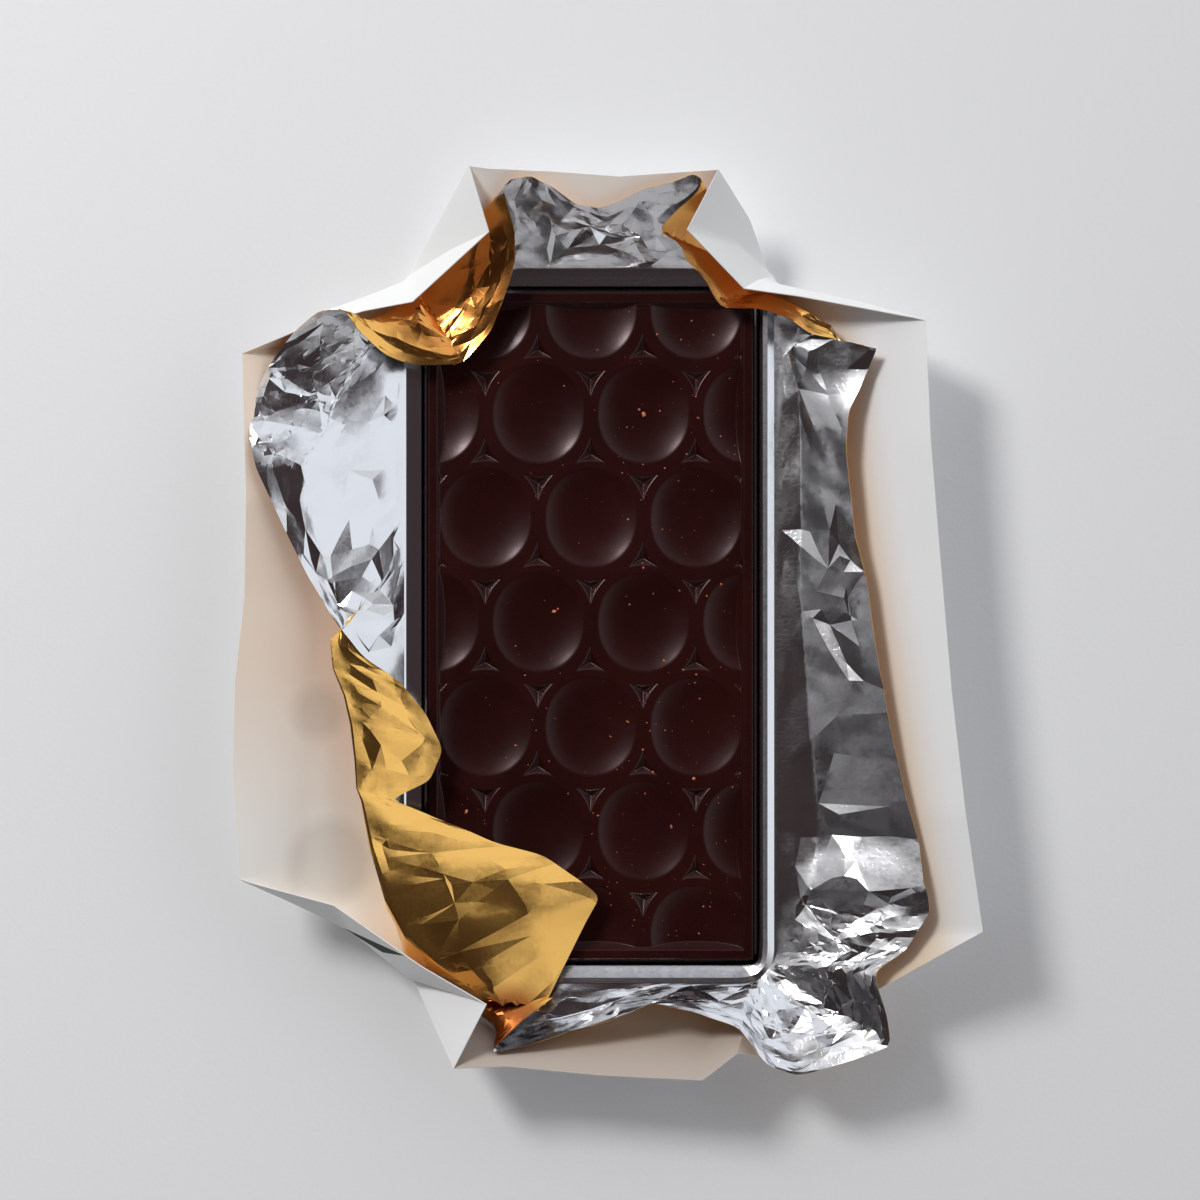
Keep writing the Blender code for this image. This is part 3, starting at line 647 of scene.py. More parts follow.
# The foil's larger creases, three numbers a point: its turn in ten-thousandths of a side,
# its share of the way out from the low wall in hundredths, and its lift in hundredths of a
# millimetre towards the side that faces the bar.
FOIL_CREASES = (
    (3056, 100, 56, 3600, 80, 72, 3833, 51, 48, 3911, 4, 16),
    (1960, 74, -24, 2667, 49, -40, 2822, 21, 0),
    (3211, 52, -24, 3756, 27, 48),
    (5308, 63, -64, 5769, 50, -80, 6308, 47, -56),
    (3989, 43, 24, 4378, 31, 56, 5462, 40, 64, 6923, 49, 24),
    (4300, 7, -24, 4689, 11, -16, 5538, 20, -24, 6769, 43, 24),
    (3833, 51, 48, 4144, 64, 72, 4844, 96, 80, 5538, 90, 24),
    (7615, 91, 16, 7692, 71, 56, 7385, 47, 64),
    (7077, 28, 64, 7385, 23, -16, 7692, 9, 16),
    (6923, 49, 24, 7385, 47, 64),
    (8818, 92, -48, 8327, 78, -16, 7692, 71, 56),
    (6308, 85, 32, 6538, 68, -24, 6308, 47, -56),
    (11959, 55, 18, 11588, 63, 72, 11193, 66, 144, 10907, 64, 216, 10871, 80, 252, 10836, 96, 240),
    (11193, 66, 144, 11588, 73, 24, 11876, 80, -18),
    (10907, 64, 216, 11341, 89, 72, 11712, 94, 0),
    (11959, 55, 18, 11876, 80, -18, 11712, 94, 0),
    (11959, 55, 54, 12412, 69, 72, 12371, 96, 18),
    (12329, 54, 0, 12796, 66, 30, 12957, 87, 12),
    (12659, 45, 18, 13118, 44, 24, 13504, 56, 12),
    (13678, 12, 12, 13952, 58, 42, 14226, 76, 72),
    (14226, 76, 72, 14535, 66, 54, 14784, 55, 24),
    (14784, 55, 24, 14030, 19, -18, 13678, 12, 12),
    (13678, 12, 12, 13717, 62, -18, 14226, 76, 72),
    (13311, 86, 18, 13536, 99, 18, 14343, 100, 0),
    (14343, 100, 0, 14109, 91, -54, 13835, 84, -54, 13311, 86, 18),
    (13375, 76, 36, 13639, 79, 30, 14226, 76, 72),
    (14030, 85, 36, 14304, 86, 30, 14535, 86, 12),
    (14677, 84, 30, 14961, 86, -30),
    (14677, 86, -24, 14961, 87, 24),
    (14784, 55, 24, 14890, 62, 42, 14784, 68, 6),
    (14784, 68, 6, 14997, 72, -36, 15494, 80, -42, 15720, 89, -12),
    (14784, 68, 6, 14855, 83, 12, 14961, 91, 36, 15281, 90, 30, 15720, 89, -12),
    (14890, 62, 42, 15316, 71, 48, 15720, 81, 36),
    (16480, 59, 42, 16200, 72, 48, 15920, 87, 24),
    (16680, 57, 24, 16720, 67, -30, 17381, 57, -24),
    (17381, 57, 6, 17535, 67, 36, 17652, 72, 12),
    (15174, 28, 12, 16000, 28, -12, 16839, 21, 18, 17806, 22, -6),
    (18875, 44, 30, 18708, 57, 96, 18500, 64, 108, 18458, 69, 120, 18500, 74, 132, 18708, 79, 156,
     18792, 87, 138, 18625, 95, 144),
    (17884, 33, -24, 17806, 62, -48, 17845, 75, -72, 17845, 88, -78, 17884, 97, -66),
    (19000, 54, -30, 19057, 64, 24, 19143, 74, -36, 18917, 85, -12, 18708, 96, 18),
    (18167, 57, 12, 18500, 64, 108, 18083, 68, 54, 18208, 73, 30, 18708, 79, 156),
    (18333, 28, 24, 18833, 24, 0, 19143, 26, 24),
    (19769, 0, 12, 19543, 19, 48, 19457, 54, 60, 19343, 78, 42),
    (19843, 3, -30, 19820, 53, 54, 19692, 74, 0, 19571, 81, 36),
    (19820, 53, 54, 19971, 39, -60, 20078, 57, -48),
    (19820, 53, 54, 19850, 68, 12, 19840, 96, 42),
    (20300, 7, 42, 20118, 35, 54, 20227, 68, 18),
    (19850, 68, 12, 19964, 69, -48, 20028, 88, 24),
    (19971, 39, -60, 20028, 67, 36, 19964, 69, -48),
    (20785, 5, 28, 21154, 47, -63, 21494, 62, 21),
    (21494, 62, 21, 22268, 5, 35, 22405, 60, -42),
    (25889, 27, 21, 25033, 57, -35, 24475, 44, 14),
    (24475, 44, 14, 23581, 6, -42, 22268, 5, 35),
    (30015, 57, -56, 30031, 63, -192, 30108, 74, -240, 30185, 83, -224, 30391, 92, -160, 30530, 99,
     -64),
    (31067, 60, -24, 30900, 68, -24, 30667, 72, -88, 30409, 70, -80, 30252, 68, -128, 30031, 63,
     -192),
    (31067, 75, -24, 30733, 73, -96, 30409, 70, -80),
    (30583, 73, -32, 30548, 78, -104, 30443, 81, -80, 30496, 86, -136, 30185, 83, -240),
    (30252, 68, -104, 30374, 75, -64, 30443, 81, -80),
    (30339, 61, -56, 30357, 66, -32, 30252, 68, -104),
    (30287, 60, -8, 30154, 59, 0, 30077, 60, -48, 30031, 63, -192),
    (30015, 83, -192, 29941, 88, -136, 29882, 98, -40),
    (30185, 83, -224, 30015, 83, -192),
    (30031, 63, -192, 29947, 62, -224, 29879, 62, -176, 29850, 68, -64),
    (31356, 57, 24, 31239, 60, 96, 30900, 59, 32),
    (31550, 61, -40, 31317, 62, -16, 31167, 62, 16),
    (34516, 58, 16, 33968, 62, -32, 33553, 70, -72, 32980, 66, -40, 32290, 57, 0),
    (34800, 62, -16, 34516, 75, -56, 34389, 88, -16, 33968, 93, 0),
    (33553, 70, -48, 33347, 82, 8, 34053, 90, -32),
    (33553, 70, -72, 33100, 74, -48, 32700, 88, -16),
    (33347, 82, 8, 33100, 88, -32, 32860, 97, 8),
    (33926, 58, -24, 33553, 61, 16, 33553, 70, -48),
    (35387, 70, 16, 35120, 80, -32, 35000, 92, 16),
    (30767, 88, -48, 30583, 88, -128, 30633, 96, -64),
    (38087, 99, 0, 38033, 85, 59, 37900, 57, 59),
    (37900, 57, 59, 37650, 54, 51, 37113, 68, 26, 36878, 92, 26),
    (37442, 99, 17, 37322, 82, -34, 37733, 57, 42),
    (37322, 82, -34, 37061, 100, -17),
    (37733, 54, 51, 38220, 54, 42, 38113, 39, 0, 37858, 16, 26),
    (38960, 84, 17, 39200, 78, 26, 39371, 72, 17, 39560, 65, 9),
    (38193, 99, -68, 38407, 100, -119, 38693, 100, -136, 38960, 100, -153, 39264, 100, -170, 39479,
     99, -170, 39605, 95, -119),
    (39329, 57, 26, 38840, 46, 42, 38273, 43, 0),
    (38960, 84, 17, 38729, 65, 59, 38273, 43, 0),
    (38729, 65, 59, 38336, 70, 42, 38220, 54, 17),
    (38087, 22, 26, 38087, 12, -51, 38140, 5, 17),
    (39329, 57, 26, 38764, 24, 68, 38371, 14, 42, 38140, 5, 9),
    (38479, 4, 26, 37775, 3, 42, 37374, 5, 77, 36514, 2, -26),
    (37858, 16, 26, 37608, 9, 59, 37374, 5, 77),
    (37191, 26, 17, 37009, 16, -26, 36800, 5, 26),
    (37525, 30, 34, 37270, 18, -26, 37322, 12, 26),
    (37692, 44, 0, 37217, 35, 30, 37035, 47, 9),
    (37374, 51, 26, 37035, 47, 9, 37009, 35, -17, 36771, 23, 17),
    (36878, 88, 34, 36826, 78, -42, 36904, 58, 42),
    (36686, 79, -77, 36826, 51, 0, 36743, 39, 110, 36657, 29, 187, 36514, 24, 204),
    (36514, 24, 204, 36486, 29, 127, 36600, 42, 17, 36657, 53, -68, 36629, 62, -85, 36686, 79, -77),
    (36600, 53, -34, 36429, 38, 102, 35968, 24, 161, 35463, 11, 170, 35160, 0, 51),
    (36600, 53, -34, 36400, 58, -102, 35725, 29, 17, 35200, 9, 102, 35160, 0, 51),
    (36400, 46, 26, 35725, 24, 34),
    (36514, 24, 204, 36400, 10, 34, 36429, 0, 0),
    (36514, 24, 204, 35947, 13, 77, 35947, 3, 42, 35947, 0, 0),
    (36343, 53, 34, 35613, 33, -26, 35160, 21, 68, 34840, 11, 0, 34474, 0, 26),
    (35160, 21, 68, 35080, 6, -34, 35120, 0, 34),
    (35160, 21, 68, 35040, 28, 0),
    (35500, 37, 26, 35000, 28, -34, 34432, 13, 17),
    (39000, 97, 42, 39120, 94, -42, 38800, 85, 77, 38550, 87, -51, 38729, 96, 34, 39000, 97, 42),
    (38220, 95, 34, 38443, 92, -59, 38550, 87, -51),
    (39809, 89, 16, 39844, 85, -48, 39882, 78, 8, 39922, 71, -48, 39948, 85, 8),
    (39882, 78, 8, 39895, 89, -40, 39905, 96, 16),
    (39922, 71, -48, 39924, 91, 16),
    (40012, 56, 24, 40015, 75, -40, 40024, 93, 16),
    (39837, 68, -16, 39926, 24, 32, 39982, 28, -24),
)
CREASE_UNITS = (10000, 100, 100)


def around_bar(turn, half, corner):
    """A point on a rounded rectangle, clockwise, with the corners at whole turns."""
    side = int(turn) % 4
    along = turn - int(turn)
    start = ((-1, 1), (1, 1), (1, -1), (-1, -1))[side]
    way = ((1, 0), (0, -1), (-1, 0), (0, 1))[side]
    length = 2 * half[0] if side % 2 == 0 else 2 * half[1]
    x = start[0] * half[0] + way[0] * along * length
    y = start[1] * half[1] + way[1] * along * length
    away = min(along, 1 - along) * length
    if away < corner:
        angle = math.radians(45) * away / corner
        near = corner * (1 - math.cos(math.radians(45) - angle))
        far = corner * (1 - math.sin(math.radians(45) - angle))
        across, beside = (far, near) if side % 2 == 0 else (near, far)
        x = math.copysign(half[0] - across, x)
        y = math.copysign(half[1] - beside, y)
    return x, y


def fill_rays(rays, crease, level, spacing):
    """Rays close enough together for a mesh: their turns, starts, bends and ends."""
    turns, starts, bends, ends = [], [], [], []
    whole = list(rays) + [(rays[0][0] + 4, *rays[0][1:])]
    corners = []
    for turn, *places in whole:
        start = np.array((*around_bar(turn % 4, crease, CREASE_CORNER), level))
        end = np.array(places[-3:])
        bend = np.array(places[:3]) if len(places) > 3 else start + (end - start) * FOLD_SHARE
        corners.append((turn, start, bend, end))
    for before, after in zip(corners, corners[1:]):
        wide = max(math.dist(before[k], after[k]) for k in (1, 2, 3))
        count = max(1, math.ceil(wide / spacing))
        for step in range(count):
            share = step / count
            turn = before[0] + (after[0] - before[0]) * share
            turns.append(turn)
            starts.append((*around_bar(turn % 4, crease, CREASE_CORNER), level))
            bends.append(before[2] + (after[2] - before[2]) * share)
            ends.append(before[3] + (after[3] - before[3]) * share)
    return np.array(turns), np.array(starts), np.array(bends), np.array(ends)


def lay_sheet(turns, starts, bends, ends, foot, level, walls, rows, softness):
    """The sheet's points, ring by ring: up the wall, then out past the bends."""
    feet = np.array([(*around_bar(turn % 4, foot, FOOT_CORNER), level) for turn in turns])
    rings = [feet]
    for k in range(len(walls[0])):
        sides = np.array([walls[s % 4][k] for s in range(5)])
        out = np.interp(turns % 4, WALL_TURNS, sides[WALL_SIDES, 0])[:, None]
        up = np.interp(turns % 4, WALL_TURNS, sides[WALL_SIDES, 1])[:, None]
        rings.append(feet + (starts - feet) * np.hstack((out, out, up)))
    for share in np.linspace(0, 1, rows):
        low, high = FOLD_SHARE - softness, FOLD_SHARE + softness
        if share <= low:
            ring = starts + (bends - starts) * (share / FOLD_SHARE)
        elif share >= high:
            ring = bends + (ends - bends) * ((share - FOLD_SHARE) / (1 - FOLD_SHARE))
        else:
            way_in = starts + (bends - starts) * (low / FOLD_SHARE)
            way_out = bends + (ends - bends) * (softness / (1 - FOLD_SHARE))
            k = (share - low) / (high - low)
            ring = way_in * (1 - k) ** 2 + bends * 2 * k * (1 - k) + way_out * k**2
        rings.append(ring)
    return np.array(rings)


def ring_normals(rings):
    """The way each point of a sheet faces, on the side towards the bar."""
    along = np.roll(rings, -1, axis=1) - np.roll(rings, 1, axis=1)
    out = np.gradient(rings, axis=0)
    normals = np.cross(along, out)
    return normals / (np.linalg.norm(normals, axis=2, keepdims=True) + 1e-9)


def spread(grid, around, upward, places):
    """A grid's values between its points; places are (way round, way up) in mm."""
    column = np.interp(places[:, 0], around, np.arange(len(around)))
    row = np.interp(places[:, 1], upward, np.arange(len(upward)))
    c = np.minimum(column.astype(int), len(around) - 2)
    r = np.minimum(row.astype(int), len(upward) - 2)
    a, b = (column - c)[:, None], (row - r)[:, None]
    low = grid[r, c] * (1 - a) + grid[r, c + 1] * a
    high = grid[r + 1, c] * (1 - a) + grid[r + 1, c + 1] * a
    return low * (1 - b) + high * b


def way_up(share):
    """How far up the plan a share of the way out lies."""
    return np.interp(share, np.linspace(0, 1, FOIL_ROWS), upward[-FOIL_ROWS:])


def crush(spacing, seed, column, drawn=()):
    """Flat facets about `spacing` wide round the drawn creases: corners, lifts, faces."""
    chance = random.Random(seed)
    places, lifts, edges = [], [], []
    for crease in drawn:
        for step, (turn, share, lift) in enumerate(np.reshape(crease, (-1, 3)) / CREASE_UNITS):
            place = np.interp(turn, turns, around), way_up(share)
            places.append(place)
            lifts.append(lift)
            if step:
                edges.append((len(places) - 2, len(places) - 1))
    fixed = np.array(places) if places else np.full((1, 2), -99.0)
    for x in np.arange(-spacing, around[-1] + spacing, spacing):
        for y in np.arange(rise - spacing, upward[-1] + 1.5 * spacing, spacing):
            place = [p + chance.uniform(-0.42, 0.42) * spacing for p in (x, y)]
            level = chance.uniform(-1, 1)
            if np.hypot(*(fixed - place).T).min() > 0.6 * spacing:
                places.append(place)
                lifts.append(level * crush_amount(*place)[column])
    spots, _, faces, origins, *_ = delaunay_2d_cdt([Vector(p) for p in places], edges, [], 0, 1e-5)
    lifts = np.array([lifts[origin[0]] if origin else 0.0 for origin in origins])
    return np.array([tuple(spot) for spot in spots]), lifts, faces


def crush_amount(across, along):
    """How much a place on the sheet is crushed into wide, middling and fine facets."""
    turn = np.interp(across, around, turns)
    share = np.interp(along, upward[-FOIL_ROWS:], np.linspace(0, 1, FOIL_ROWS))
    for start, end, low, high, *amounts in FOIL_CRUSH:
        if start <= turn < end and low <= share < high:
            return amounts
    return 0.0, 0.0, 0.0


def lift_at(facets, places):
    """The lift of the facets at each place."""
    spots, lifts, faces = facets
    order = np.argsort(places[:, 0])
    across, along = places[order].T
    result = np.zeros(len(places))
    for face in faces:
        a, b, c = spots[face[0]], spots[face[1]], spots[face[2]]
        first = np.searchsorted(across, min(a[0], b[0], c[0]))
        last = np.searchsorted(across, max(a[0], b[0], c[0]), side="right")
        if first == last:
            continue
        x, y = across[first:last] - a[0], along[first:last] - a[1]
        whole = (b[0] - a[0]) * (c[1] - a[1]) - (c[0] - a[0]) * (b[1] - a[1])
        beta = (x * (c[1] - a[1]) - (c[0] - a[0]) * y) / whole
        gamma = ((b[0] - a[0]) * y - (b[1] - a[1]) * x) / whole
        hit = (beta >= 0) & (gamma >= 0) & (beta + gamma <= 1)
        value = lifts[face[0]] + beta * (lifts[face[1]] - lifts[face[0]])
        value += gamma * (lifts[face[2]] - lifts[face[0]])
        result[order[first:last][hit]] = value[hit]
    return result


def close_sheet(sheet, floor):
    """Joins the sheet's two ends, fills its floor and turns its inside to the bar."""
    edit_only(sheet)
    bpy.ops.mesh.select_all(action="SELECT")
    bpy.ops.mesh.remove_doubles(threshold=0.000002)
    bpy.ops.mesh.select_all(action="DESELECT")
    shape = bmesh.from_edit_mesh(sheet.data)
    for edge in shape.edges:
        low = max(corner.co.z for corner in edge.verts) < floor * MM + 1e-6
        edge.select_set(edge.is_boundary and low)
    bmesh.update_edit_mesh(sheet.data)
    fill_floor()
    shape = bmesh.from_edit_mesh(sheet.data)
    ground = max(shape.faces, key=lambda face: len(face.verts))
    if ground.normal.z < 0:
        bpy.ops.mesh.flip_normals()
    bpy.ops.object.mode_set(mode="OBJECT")


def thicken(sheet, thickness):
    """Gives the sheet its thickness, away from the bar; the outside is material 1."""
    wall = sheet.modifiers.new("wall", "SOLIDIFY")
    wall.thickness = thickness * MM
    wall.offset = -1.0
    wall.material_offset = 1
    wall.material_offset_rim = 1
    bpy.ops.object.modifier_apply(modifier="wall")


turns, starts, bends, ends = fill_rays(FOIL_RAYS, FOIL_CREASE, FOIL_LEVELS[1], FOIL_RAY_GAP)
for _ in range(2):
    ends = (np.roll(ends, 1, axis=0) + 2 * ends + np.roll(ends, -1, axis=0)) / 4
rings = lay_sheet(
    turns, starts, bends, ends, FOIL_FOOT, FOIL_LEVELS[0], FOIL_WALLS, FOIL_ROWS, 0.02
)
facing_bar = ring_normals(rings)
rings, facing_bar = (np.concatenate((grid, grid[:, :1]), axis=1) for grid in (rings, facing_bar))
turns = np.append(turns, turns[0] + 4)
around = np.append(0, np.cumsum(np.linalg.norm(np.diff(rings, axis=1), axis=2).mean(axis=0)))
upward = np.append(0, np.cumsum(np.linalg.norm(np.diff(rings, axis=0), axis=2).mean(axis=1)))
rise = upward[len(FOIL_WALLS[0]) + 1]

wide_facets = crush(WIDE_FACET, 3, 0, FOIL_CREASES)
middle_facets = crush(MIDDLE_FACET, 8, 1)

# The mesh's points lie along the wall's levels, the fold and every facet's edges, with
# scattered ones between them, so each crease is a line of edges.
points, lines = [], []
end, top = around[-1], upward[-1]
fold_rows = way_up(FOLD_SHARE + np.array((-0.015, 0, 0.015)))
for level in (*upward[: len(FOIL_WALLS[0]) + 2], *fold_rows, top):
    gap = 0.9 if level > rise + 1 else 1.7
    across = np.linspace(0, end, round(end / gap))
    add_path(np.column_stack((across, np.full(len(across), level))))
for x in (0, end):
    along = np.linspace(rise, top, 20)[1:-1]
    add_path(np.column_stack((np.full(len(along), x), along)))
for facets, least in ((wide_facets, 0.0), (middle_facets, LEAST_LIFT)):
    spots, lifts, faces = facets
    edges = {tuple(sorted(pair)) for face in faces for pair in zip(face, face[1:] + face[:1])}
    for first, second in sorted(edges):
        if max(abs(lifts[first]), abs(lifts[second])) <= least:
            continue
        length = math.dist(spots[first], spots[second])
        share = np.linspace(0, 1, max(2, round(length / 1.15) + 1))[:, None]
        path = spots[first] * (1 - share) + spots[second] * share
        inside = (path[:, 0] > 0.4) & (path[:, 0] < end - 0.4)
        inside &= (path[:, 1] > rise + 0.4) & (path[:, 1] < top - 0.35)
        add_path(path, inside)
taken = {(round(x / SCATTER_CELL), round(y / SCATTER_CELL)) for x, y in points}
chance = random.Random(14)
for x in np.arange(0.8, end - 0.5, SCATTER_GAP):
    for y in np.arange(rise + 0.8, top - 0.5, SCATTER_GAP):
        place = x + chance.uniform(-0.4, 0.4), y + chance.uniform(-0.4, 0.4)
        if (round(place[0] / SCATTER_CELL), round(place[1] / SCATTER_CELL)) not in taken:
            points.append(place)

flat, triangles = triangulate(points, lines)
fine = np.array([chance.uniform(-1, 1) * crush_amount(*place)[2] for place in flat])
lift = lift_at(wide_facets, flat) + lift_at(middle_facets, flat) + fine
turn = np.interp(flat[:, 0], around, turns)
share = np.interp(flat[:, 1], upward[-FOIL_ROWS:], np.linspace(0, 1, FOIL_ROWS))
turned_back = ((turn > 2.97) & (turn < 3.6)) | (turn > 3.978)
fold_fade = 1 - np.exp(-(((share - FOLD_SHARE) / FOLD_FADE) ** 2))
lift = np.where(turned_back, lift * fold_fade, lift)
lift *= np.clip((flat[:, 1] - rise) / EDGE_FADE, 0, 1)
lift *= np.clip(np.minimum(flat[:, 0], end - flat[:, 0]) / EDGE_FADE, 0, 1)
laid = spread(rings, around, upward, flat)
laid = laid + spread(facing_bar, around, upward, flat) * lift[:, None]
foil = new_object("foil", laid * MM, triangles)
close_sheet(foil, FOIL_LEVELS[0])


def relief_group(name, strength, distance):
    """A group that puts out a normal: the group, its nodes, its links and its height."""
    group = bpy.data.node_groups.new(name, "ShaderNodeTree")
    group.interface.new_socket("Normal", in_out="OUTPUT", socket_type="NodeSocketVector")
    nodes, links = group.nodes, group.links
    outlet, bump = nodes.new("NodeGroupOutput"), nodes.new("ShaderNodeBump")
    bump.inputs["Strength"].default_value = strength
    bump.inputs["Distance"].default_value = distance
    links.new(bump.outputs["Normal"], outlet.inputs["Normal"])
    return group, nodes, links, bump.inputs["Height"]


# The crinkle leans each small cell of the foil's surface its own way.
CRINKLE, nodes, links, height = relief_group("crinkle", 0.12, 0.2)
place = nodes.new("ShaderNodeTexCoord").outputs["Object"]
cells = nodes.new("ShaderNodeTexVoronoi")
cells.inputs["Scale"].default_value = 900
offset, lean = (nodes.new("ShaderNodeVectorMath") for _ in range(2))
offset.operation = lean.operation = "SUBTRACT"
lean.inputs[1].default_value = (0.5, 0.5, 0.5)
links.new(place, cells.inputs["Vector"])
links.new(place, offset.inputs[0])
links.new(cells.outputs["Position"], offset.inputs[1])
links.new(cells.outputs["Color"], lean.inputs[0])
links.new(measure(nodes, links, offset.outputs[0], "DOT_PRODUCT", lean.outputs[0]), height)


def tint(nodes, links, mask, base, colour):
    """Mixes a colour into the base by a mask; each is a colour or an output."""
    blend = nodes.new("ShaderNodeMixRGB")
    links.new(mask, blend.inputs[0])
    for socket, value in ((blend.inputs[1], base), (blend.inputs[2], colour)):
        if isinstance(value, tuple):
            socket.default_value = (*value, 1)
        else:
            links.new(value, socket)
    return blend.outputs[0]


def sheet_material(name, colour, roughness, metallic, relief):
    """A new material with a relief group, its nodes, links and shader, and the place."""
    material, nodes, links, shader = principled(name, colour, roughness, metallic)
    group = nodes.new("ShaderNodeGroup")
    group.node_tree = relief
    links.new(group.outputs["Normal"], shader.inputs["Normal"])
    return material, nodes, links, shader, nodes.new("ShaderNodeTexCoord").outputs["Object"]


SILVER = (0.8, 0.805, 0.83)
foil.data.materials.append(sheet_material("silver side", SILVER, 0.18, 1.0, CRINKLE)[0])

# Painted reflection and shade: the gold is painted a deeper orange where it faces itself, in the
# near left corner and the far folds, standing in for light bounced between the folds and the shade
# there.
GOLD = (0.97, 0.56, 0.15)
metal, nodes, links, shader, place = sheet_material("gold side", GOLD, 0.22, 1.0, CRINKLE)
tone = GOLD
for spot, reach, colour in (
    ((-0.0195, -0.091, 0.015), 0.012, (0.4, 0.12, 0.03)),
    ((-0.028, 0.078, 0.014), 0.026, (0.85, 0.36, 0.09)),
    ((0.034, 0.082, 0.015), 0.026, (0.9, 0.42, 0.12)),
):
    away = measure(nodes, links, place, "DISTANCE", spot)
    painted_deep_gold = ramp(nodes, links, away, (reach * 0.6, (1,)), (reach, (0,)))
    tone = tint(nodes, links, painted_deep_gold, tone, colour)
links.new(tone, shader.inputs["Base Color"])
foil.data.materials.append(metal)
thicken(foil, FOIL_THICKNESS)
bpy.ops.object.shade_smooth_by_angle(angle=math.radians(7))
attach(foil, "root")
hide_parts("foil_wrapper")


# The wrapper is one sheet of white paper under the foil, with four flaps that stand up.
# It is laid like the foil, in long soft waves.
PAPER_FOOT = (39.2, 78.3)
PAPER_CREASE = (43.6, 82.8)
PAPER_LEVELS = (0.3, 7.6)
PAPER_WALLS = (((0.15, 0.35), (0.4, 0.75), (0.75, 0.95)),) * 4
PAPER_ROWS = 26
PAPER_RAY_GAP = 2.2
PAPER_THICKNESS = 0.2
PAPER_ROUGHNESS = 0.75
PAPER_RAYS = (
    (0, -27, 103, 22),
    (0.08, -29, 93.5, 16.5, -22.5, 102.5, 21.5),
    (0.35, -10.5, 94, 16.8, -8, 102, 20.5),
    (0.62, 8, 94, 16.8, 6.5, 101, 20),
    (0.92, 31, 94, 16.8, 24.5, 102, 21.5),
    (0.985, 36, 92, 14.5, 28.5, 102, 23),
    (0.995, 33, 86.5, 15.5, 21.5, 88.5, 24),
    (1.005, 38, 78.5, 13, 34.5, 76, 18),
    (1.03, 45.5, 77, 13, 47, 74, 20),
    (1.1, 59, 74, 14, 75, 68.5, 22),
    (1.25, 54, 41.5, 9.2, 76, 41.5, 23),
    (1.4, 54, 17, 9.2, 78, 17, 23),
    (1.58, 54.5, -13.5, 9.2, 80.5, -14, 24),
    (1.76, 55, -42.5, 9.3, 83.5, -41.5, 25),
    (1.94, 57, -71, 10, 87.5, -68, 24),
    (1.985, 65.5, -81.5, 17.5),
    (1.995, 45.5, -94, 12),
    (2.01, 38.5, -97, 16),
    (2.05, 33, -96, 19),
    (2.14, 28, -92.5, 10, 25, -101.5, 22),
    (2.45, 3, -92.5, 10, 2, -100.5, 21),
    (2.72, -19, -92, 10.5, -18.5, -98.5, 21),
    (2.98, -30.5, -99, 21),
    (2.995, -23, -84, 25),
    (3.005, -41.5, -80, 12, -37.5, -76, 22.5),
    (3.05, -54.5, -69.5, 12, -57.5, -62.5, 20),
    (3.12, -66, -63.5, 13, -78.5, -56.5, 22),
    (3.27, -63, -36, 13.5, -80, -34, 22),
    (3.42, -63, -13, 13.5, -79.5, -12.5, 22),
    (3.55, -62, 8, 13, -77.5, 7, 21),
    (3.7, -62, 31, 13.5, -77, 28.5, 22),
    (3.9, -66, 64, 11.5, -78.5, 61.5, 17.5),
    (3.95, -59, 72, 12.5, -66, 66.5, 18),
    (3.985, -47, 76.5, 11, -51, 71, 17.5),
    (3.992, -40, 78.5, 12, -40, 73, 18),
    (3.997, -31.5, 85, 16, -22.5, 88, 24),
)
rays = fill_rays(PAPER_RAYS, PAPER_CREASE, PAPER_LEVELS[1], PAPER_RAY_GAP)
rings = lay_sheet(*rays, PAPER_FOOT, PAPER_LEVELS[0], PAPER_WALLS, PAPER_ROWS, 0.05)
bpy.ops.mesh.primitive_grid_add(x_subdivisions=rings.shape[1], y_subdivisions=rings.shape[0] - 1)
paper = bpy.context.object
paper.name = "wrapping_paper"
paper.data.vertices.foreach_set("co", (np.concatenate((rings, rings[:, :1]), axis=1) * MM).ravel())
close_sheet(paper, PAPER_LEVELS[0])


# The relief is the paper's fine fibres.
FIBRES, nodes, links, height = relief_group("fibres", 0.6, 0.00006)
links.new(noise(nodes, links, 1400, 5, 0.7).outputs["Fac"], height)
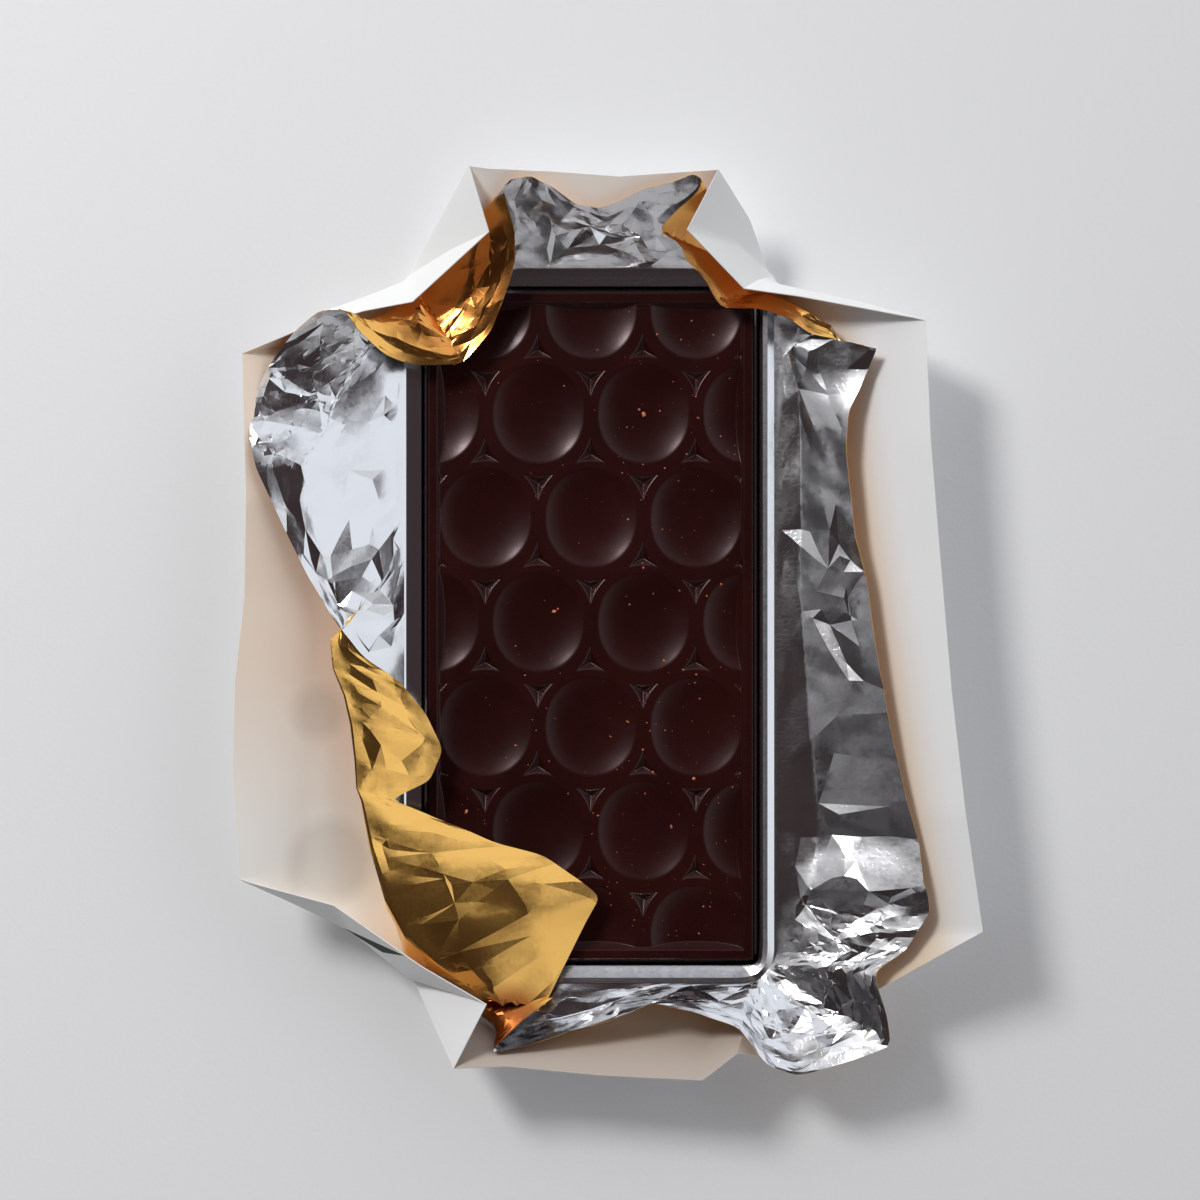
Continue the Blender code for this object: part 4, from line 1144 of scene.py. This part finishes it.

# Inside, the paper is white with painted light and shade: painted tan beside the gold foil,
# standing in for its shadow and the gold light it throws; painted shade on the near flap; painted
# light on the far flap; and two soft darker spots.
INSIDE_WHITE = (0.92, 0.92, 0.92)
inside, nodes, links, shader, place = sheet_material(
    "paper inside", INSIDE_WHITE, PAPER_ROUGHNESS, 0.0, FIBRES
)
parts = nodes.new("ShaderNodeSeparateXYZ")
links.new(place, parts.inputs[0])
# Painted shadow and reflection: a tan band beside the foil's right edge stands in for the foil's
# shadow, lit by light bounced off the gold.
right_side = measure(nodes, links, place, "DOT_PRODUCT", (1, 0.163, 0))
painted_shadow_bounce_band = ramp(nodes, links, right_side, (0.065, (0.9,)), (0.0725, (0,)))
tone = tint(nodes, links, painted_shadow_bounce_band, INSIDE_WHITE, (0.8, 0.63, 0.45))
# Painted reflection and shade: the left flap is painted warmer towards its far end, standing in for
# gold light bounced onto it.
left_side = measure(nodes, links, parts.outputs["X"], "LESS_THAN", -0.04)
up_side = measure(nodes, links, parts.outputs["Y"], "ADD", 0.1)
painted_left_warmth = ramp(nodes, links, up_side, (0.052, (0.96, 0.93, 0.88)), (0.092, (0.93, 0.77, 0.63)))
tone = tint(nodes, links, left_side, tone, painted_left_warmth)
# Painted shade darkens the near flap; painted light warms the far flap, standing in for lamp light
# that shines through the paper.
near_way = measure(nodes, links, parts.outputs["Y"], "MULTIPLY", -1)
for way_out, colour in ((near_way, (0.5, 0.43, 0.37)), (parts.outputs["Y"], (0.98, 0.92, 0.85))):
    painted_flap_shade_light = ramp(nodes, links, way_out, (0.078, (0,)), (0.088, (1,)))
    tone = tint(nodes, links, painted_flap_shade_light, tone, colour)
# Two soft darker spots on the left flap.
for spot, reach in (((-0.0615, -0.0195, 0.014), 0.007), ((-0.0585, -0.0535, 0.014), 0.011)):
    away = measure(nodes, links, place, "DISTANCE", spot)
    soft_dark_spot = ramp(nodes, links, away, (reach * 0.8, (0.28,)), (reach, (0,)))
    tone = tint(nodes, links, soft_dark_spot, tone, (0.42, 0.37, 0.29))
links.new(tone, shader.inputs["Base Color"])

# Outside, it is white with a plain dark green field at its near left edge.
GREEN_CORNERS = ((-0.0576, -0.0681), (-0.047, -0.0738), (-0.0414, -0.0737))
OUTSIDE_WHITE = (0.88, 0.88, 0.87)
outside, nodes, links, shader, place = sheet_material(
    "paper outside", OUTSIDE_WHITE, PAPER_ROUGHNESS, 0.0, FIBRES
)
field = None
for (x0, y0), (x1, y1) in zip(GREEN_CORNERS, GREEN_CORNERS[1:] + GREEN_CORNERS[:1]):
    across = (y0 - y1, x1 - x0, 0)
    side = measure(nodes, links, place, "DOT_PRODUCT", across)
    side = measure(nodes, links, side, "GREATER_THAN", across[0] * x0 + across[1] * y0)
    field = side if field is None else measure(nodes, links, field, "MULTIPLY", side)
tone = tint(nodes, links, field, OUTSIDE_WHITE, (0.012, 0.035, 0.025))
links.new(tone, shader.inputs["Base Color"])

paper.data.materials.append(inside)
paper.data.materials.append(outside)
thicken(paper, PAPER_THICKNESS)
bpy.ops.object.shade_smooth_by_angle(angle=math.radians(40))
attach(paper, "root")
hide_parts("paper_wrapper")
